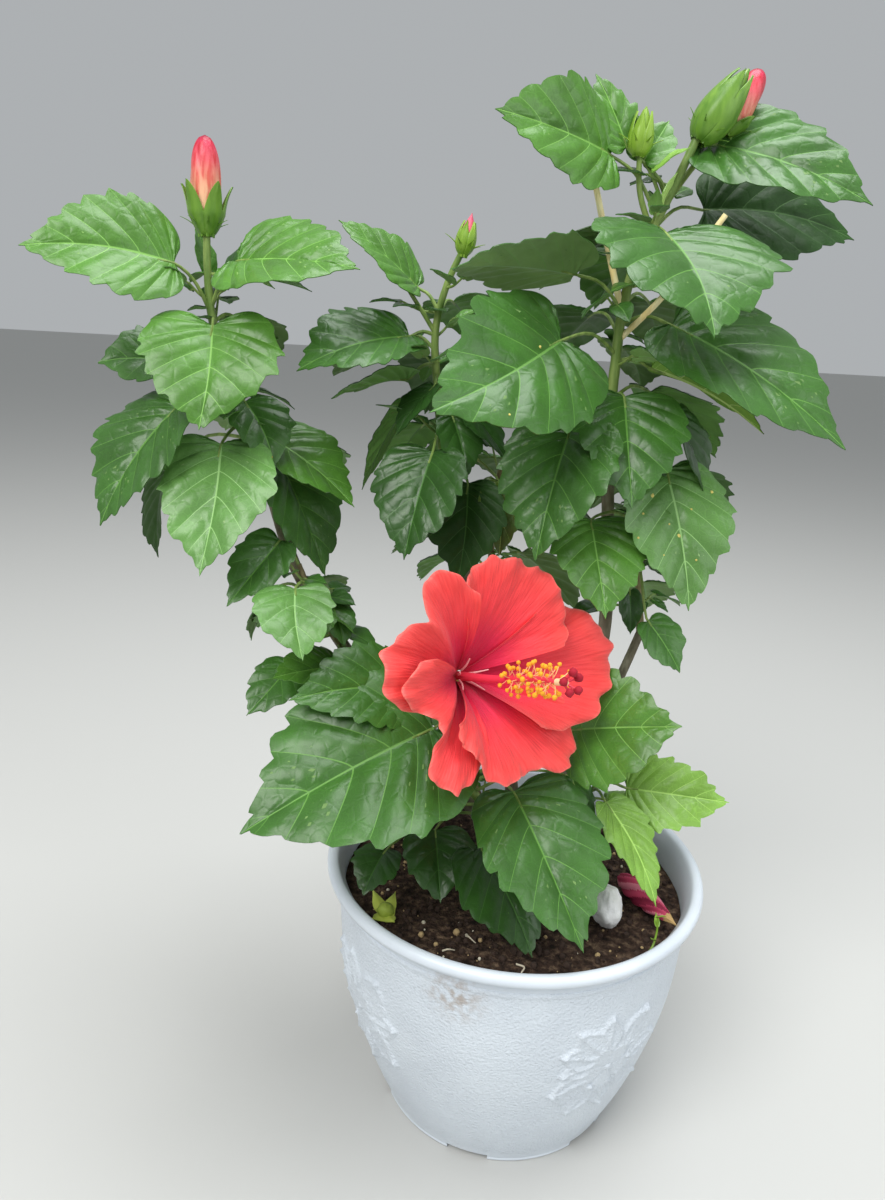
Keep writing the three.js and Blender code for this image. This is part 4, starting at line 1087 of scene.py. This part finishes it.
def blossom_form(x, y, centre_x, centre_y, radius):
    """A five-petalled blossom: where it lies, and its height there, with cupped petals round a boss."""
    far = np.hypot(x - centre_x, y - centre_y)
    lobe = np.abs(np.cos(2.5 * np.arctan2(y - centre_y, x - centre_x) + centre_x))
    edge = radius * (0.72 + 0.28 * lobe ** 0.6)
    cupped = (0.35 + 0.65 * np.clip(far / edge, 0, 1) ** 4) * (0.3 + 0.7 * ramp(lobe, 0, 0.4))
    return ramp(edge - far, 0, RELIEF.soft), np.maximum(cupped, ramp(0.2 * radius - far, 0, RELIEF.soft))


def leaf_form(x, y, base_x, base_y, heading, long):
    """A lobed leaf: where it lies, and its height there, with raised edges and a raised midrib."""
    turn = math.radians(heading)
    along = ((x - base_x) * math.cos(turn) + (y - base_y) * math.sin(turn)) / long
    aside = np.abs(-(x - base_x) * math.sin(turn) + (y - base_y) * math.cos(turn))
    half = 0.36 * long * np.sin(math.pi * np.clip(along, 0, 1) ** 0.8)
    half = half * (1 + 0.04 * np.abs(np.sin(9 * along)))
    edge = np.exp(-((half - aside - 2.4) / 1.5) ** 2)
    return ramp(half - aside, 0, RELIEF.soft), 0.25 + 0.65 * edge + 0.7 * np.exp(-(aside / 1.3) ** 2)


def ring_height(height):
    """The groove under the rim and the bead below it."""
    apart = height - GROOVE.height
    groove = GROOVE.deep * ramp(GROOVE.half - abs(apart), 0, GROOVE.half)
    return -groove + GROOVE.bead * ramp(2 - abs(apart + 3), 0, 1)


def ornament(turns, height):
    """How far the wall stands out at its turns: the raised flowers and leaves round it, and the ring."""
    if not RELIEF.low < height < RELIEF.high:
        return ring_height(height) + 0 * turns
    span = 360 / RELIEF.repeats
    apart = (np.degrees(turns) - RELIEF.first + span / 2) % span - span / 2
    x = np.radians(apart) * np.interp(height, *np.transpose([(h, r) for r, h in POT_WALL])) / RELIEF.wide
    y = (height - RELIEF.middle) / RELIEF.tall + 0 * turns
    raised = 0 * turns
    for form, table in ((leaf_form, ORNAMENT_LEAVES), (blossom_form, BLOSSOMS)):
        for made in table:
            covers, rise = form(x, y, *made)
            raised = raised * (1 - covers) + rise * covers
    return RELIEF.raised * raised


fine_turns = np.radians(np.arange(0, 360, 0.6))
coarse_turns = np.radians(np.arange(0, 360, 1.5))
wall = smooth_outline(((JOINT_RADIUS, FLOOR), *POT_WALL[1:]), WALL_STEP)
below = [point for point in wall if point[1] <= GROOVE.height]
above = [point for point in wall if point[1] >= GROOVE.height]
shell = [point for point in below if point[1] < RELIEF.low or point[1] > RELIEF.high][::-8]

pebbled = Stock(pot_material("pot_pebbled", 0.42, 620, 1.0, 0.0011))
outside = [point for i, point in enumerate(below) if RELIEF.low < point[1] < RELIEF.high or i % 4 == 0
           or point[1] > GROOVE.height - 6]
lathe(pebbled, [*outside, *[(radius - SKIN, height) for radius, height in shell]], fine_turns, 0, ornament)
pebbled.make("pot_wall", "pot", sharp=80)

smooth_plastic = pot_material("pot_smooth", 0.3, 120, 0.15, 0.0006)
band = Stock(smooth_plastic)
rim = [(112.5, 162.4), (113.5, 162.8), (118, 163), (119.2, 163.6), (120, 166), (119.6, 168.3), (118.4, 169.6),
       (116.5, 170), (114.6, 169.8), (113.2, 168.8), (112.5, 167)]
inner = [(radius - WALL, height) for radius, height in POT_WALL[:0:-1]]
middle_wall = [(radius - SKIN, height) for radius, height in POT_WALL[1:-1]]
bottom = [(FLOOR_RADIUS, FLOOR), (FLOOR_RADIUS + 1, FLOOR)]
lathe(band, [*above, *rim, *inner, *bottom, *middle_wall], coarse_turns, 0)
band.make("pot_band", None)


def prism(outline, low, high):
    """A closed form over an outline, between two heights."""
    made = Stock()
    made.add_rings([[point + height * UP for point in outline] for height in (low, high)], 0)
    return made


def drain_cutters(number):
    """One channel across the underside, and the hole up through the floor, as closed forms."""
    heading = DRAIN.turn + 360 / DRAIN.count * number
    along, aside = towards(heading, 0), towards(heading + 90, 0) * DRAIN.width / 2
    corners = (DRAIN.start, -1), (DRAIN.end, -1), (DRAIN.end, 1), (DRAIN.start, 1)
    channel = [along * far + aside * sign for far, sign in corners]
    hole = [along * DRAIN.hole_at + around(DRAIN.hole, turn, 0) for turn in even_turns(24)]
    return prism(channel, -DRAIN.height, DRAIN.height), prism(hole, -FLOOR, 2 * FLOOR)


def cut(piece, cutters):
    """Takes closed forms away from a piece."""
    blocks = [bpy.data.objects.new("cutter", bpy.data.meshes.new("cutter")) for _ in cutters]
    for block, made in zip(blocks, cutters):
        block.data.from_pydata((np.vstack(made.points) * MM).tolist(), [], made.faces)
        bpy.context.scene.collection.objects.link(block)
        change = piece.modifiers.new("drain", "BOOLEAN")
        change.operation = "DIFFERENCE"
        change.solver = "EXACT"
        change.object = block
    bpy.context.view_layer.update()
    shaped = bpy.data.meshes.new_from_object(piece.evaluated_get(bpy.context.evaluated_depsgraph_get()))
    piece.modifiers.clear()
    piece.data = shaped
    for block in blocks:
        bpy.data.objects.remove(block)


foot_stock = Stock(smooth_plastic)
foot_outline = [(0.5, 0), (FOOT_RADIUS, 0), (77.8, 0.5), (78.3, 1.6), (78.1, 2.6),
                (JOINT_RADIUS, FLOOR), (0.5, FLOOR)]
lathe(foot_stock, foot_outline, np.radians(np.arange(0, 360, 2)), 0)
pot_foot = foot_stock.make("pot_foot", None, sharp=30)
cut(pot_foot, [cutter for number in range(DRAIN.count) for cutter in drain_cutters(number)])
pot_foot.data.shade_smooth()
pot_foot.data.set_sharp_from_angle(angle=math.radians(30))


# Soil

def soil_height(radius):
    return SOIL_TOP - SOIL_FALL * max(radius - SOIL_FLAT, 0) / (SOIL_RADIUS - SOIL_FLAT)


def soil_lump(x, y):
    coarse = noise.noise(Vector((x * 0.09, y * 0.09, 0)))
    return 1.5 * coarse + 1.1 * noise.noise(Vector((x * 0.3, y * 0.3, 5))) - 0.2


EARTH, CRUMB, TAN_GRIT, WHITE_GRIT, ROOT, SPROUT = range(6)
soil_look = mottled("soil", 0.95, 0.2, (220, 8),
                    ((0.32, (34, 26, 22)), (0.52, (70, 54, 45)), (0.75, (124, 103, 84))),
                    (500, 8), 1.0, 0.003)
soil = Stock(soil_look, plain("crumbs", (62, 47, 39), 0.95), plain("tan_grit", (186, 160, 116), 0.8),
             plain("white_grit", (214, 206, 186), 0.75), plain("fine_roots", (216, 206, 184), 0.7),
             BUD_MATERIALS[LIME])
side_wall = [(radius - WALL - GAP, height) for radius, height in POT_WALL[1:-1]]
outline = [(0.5, FLOOR + GAP), (FLOOR_RADIUS - GAP, FLOOR + GAP), *side_wall]
outline += [(radius, soil_height(radius)) for radius in np.linspace(SOIL_RADIUS, 0.5, 70)]
points = []
for number, (radius, height) in enumerate(outline):
    for point in (around(radius, turn, height) for turn in even_turns(SOIL_SIDES)):
        if number > len(side_wall) + 1:
            point[2] += soil_lump(*point[:2]) * min(1, (SOIL_RADIUS + 4 - radius) / 10)
        points.append(point)
soil.add(points, lattice(len(outline), SOIL_SIDES, closed=True, looped=True), EARTH)
for i in range(CRUMBS):
    radius = SOIL_RADIUS * 0.97 * chance(i + 0.1) ** 0.5
    centre = around(radius, FULL_TURN * chance(i + 0.7), soil_height(radius) + 0.2)
    kind = chance(i + 5.5)
    grit = TAN_GRIT if kind < 0.08 else WHITE_GRIT if kind < 0.12 else CRUMB
    size = 0.6 + 1.8 * chance(i + 0.4) ** 3
    ball(soil, centre, size if grit == CRUMB else 0.6 * size, grit, i, 4, 6)
for i, place in enumerate(((-48, -69), (-36, -58), (-22, -64), (-57, -61), (46, -71))):
    centre = np.array((*place, soil_height(math.hypot(*place)) + 0.6))
    ball(soil, centre, 1.3 + 0.8 * chance(i), TAN_GRIT, i, 6, 9)
ROOTS = (
    ((-30, -63, 151.5), (-29, -66, 153.5), (-25, -68, 151)),
    ((-44, -75, 150), (-41, -76, 152), (-37, -74, 150)),
    ((-2, -83, 150), (2, -88, 152), (0, -92, 151), (2, -97, 149.5)),
)
for path in ROOTS:
    tube(soil, path, 0.6, 0.3, 6, 20, ROOT)
tube(soil, ((71, -72, 149), (78, -66, 152), (81, -62, 160), (81, -60, 170)), 0.8, 0.5, 7, 20, SPROUT)
for i, place in enumerate(((81, -60, 169), (81, -61, 164), (79, -65, 157))):
    turn = 150 * i - 60
    sepal(soil, np.array(place, float), towards(turn, 0), towards(turn, 50), 7, 3.4, SPROUT, 0.3)
soil.make("soil_top", "soil")


# What lies on the soil

STONE = SimpleNamespace(size=(10, 15, 12), place=(55, -40, SOIL_TOP + 10.9))
stone = Stock(mottled("white_stone", 0.8, 0.3, (120, 5), ((0.35, (250, 250, 248)), (0.65, (255, 255, 255))),
                      (420, 6), 0.7, 0.001))


def stone_point(way):
    lump = 0.98 + 0.12 * noise.noise(Vector(way * 1.7)) + 0.07 * noise.noise(Vector(way * 5))
    return np.array(STONE.place) + way * STONE.size * lump


stone.add_rings([[stone_point(around(math.sin(tilt), turn, -math.cos(tilt))) for turn in even_turns(48)]
                 for tilt in np.linspace(0.02, math.pi - 0.02, 28)], 0)
stone.make("white_stone_lump", "white_stone")

WITHERED_DARK, WITHERED_PINK, WITHERED_PALE, TAN = range(4)
withered = Stock(plain("withered_dark", (142, 26, 62), 0.75), plain("withered_pink", (196, 62, 98), 0.7),
                 plain("withered_pale", (222, 124, 146), 0.7), plain("withered_tan", (198, 164, 108), 0.8))
furled(withered, np.array((71, -2, 156.6)), (-62, 0), 53, 7.5, egg,
       2 * (WITHERED_DARK, WITHERED_PINK, WITHERED_PALE, WITHERED_PINK), TAN, 6, 0.3, 5)
withered.make("withered_petals", "withered_flower")

calyx = Stock(plain("fallen_lime", (186, 200, 86), 0.55), plain("fallen_green", (156, 176, 66), 0.55))
CALYX_MIDDLE = np.array((-79.5, -46, 152))
CALYX_ENDS = ((-89, -33, 158), (-74, -33, 157), (-73, -41, 152.5), (-73, -56, 152), (-87, -54, 152))
for end in CALYX_ENDS:
    reach = end - CALYX_MIDDLE
    sepal(calyx, CALYX_MIDDLE, towards(0, 90), unit(reach), np.linalg.norm(reach), 9, 0, 0.12)
ball(calyx, CALYX_MIDDLE + (0, 0, 1.5), 5, 1, 0, 9, 14)
calyx.make("fallen_sepals", "fallen_calyx")


# Floor, light and camera

FLOOR_REACH = 30
floor_mesh = bpy.data.meshes.new("floor")
corners = [(x * FLOOR_REACH, y * FLOOR_REACH, 0) for x, y in ((-1, -1), (1, -1), (1, 1), (-1, 1))]
floor_mesh.from_pydata(corners, [], [(0, 1, 2, 3)])
floor_mesh.materials.append(plain("floor", (192, 192, 189), 0.9, 0.2))
floor = bpy.data.objects.new("floor", floor_mesh)
bpy.context.scene.collection.objects.link(floor)

world = bpy.data.worlds.new("sky")
bpy.context.scene.world = world
world.use_nodes = True
world.node_tree.nodes["Background"].inputs["Color"].default_value = (0.93, 0.97, 1, 1)
world.node_tree.nodes["Background"].inputs["Strength"].default_value = 0.45


def soft_light(name, place, target, size, power, color):
    lamp = bpy.data.lights.new(name, "AREA")
    lamp.shape = "DISK"
    lamp.size = size
    lamp.energy = power
    lamp.color = color
    piece = bpy.data.objects.new(name, lamp)
    piece.location = place
    piece.rotation_euler = (Vector(target) - Vector(place)).to_track_quat("-Z", "Y").to_euler()
    bpy.context.scene.collection.objects.link(piece)


soft_light("key", (-1.0, -1.6, 2.2), (0, 0, 0.35), 1.6, 56, (1, 0.99, 0.97))
soft_light("fill", (1.6, -1.2, 1.2), (0, 0, 0.3), 1.6, 14, (0.95, 0.98, 1))
soft_light("top", (0.2, 0, 2.3), (0, 0, 0.4), 1.4, 36, (0.97, 0.99, 1))

CAMERA_PLACE = (-0.055, -0.503, 0.488)
CAMERA_PITCH = 16.6
CAMERA_ROLL = 3.1
lens = bpy.data.cameras.new("camera")
lens.sensor_fit = "VERTICAL"
lens.sensor_height = 36
lens.lens = 26.4
lens.clip_start = 0.01
camera = bpy.data.objects.new("camera", lens)
forward = towards(90, -CAMERA_PITCH)
level_up = towards(90, 90 - CAMERA_PITCH)
side = turned(np.cross(forward, level_up), forward, -CAMERA_ROLL)
up = turned(level_up, forward, -CAMERA_ROLL)
axes = np.stack([side, up, -forward], 1)
camera.matrix_world = Matrix([[*row, place] for row, place in zip(axes, CAMERA_PLACE)] + [[0, 0, 0, 1]])
bpy.context.scene.collection.objects.link(camera)
bpy.context.scene.camera = camera
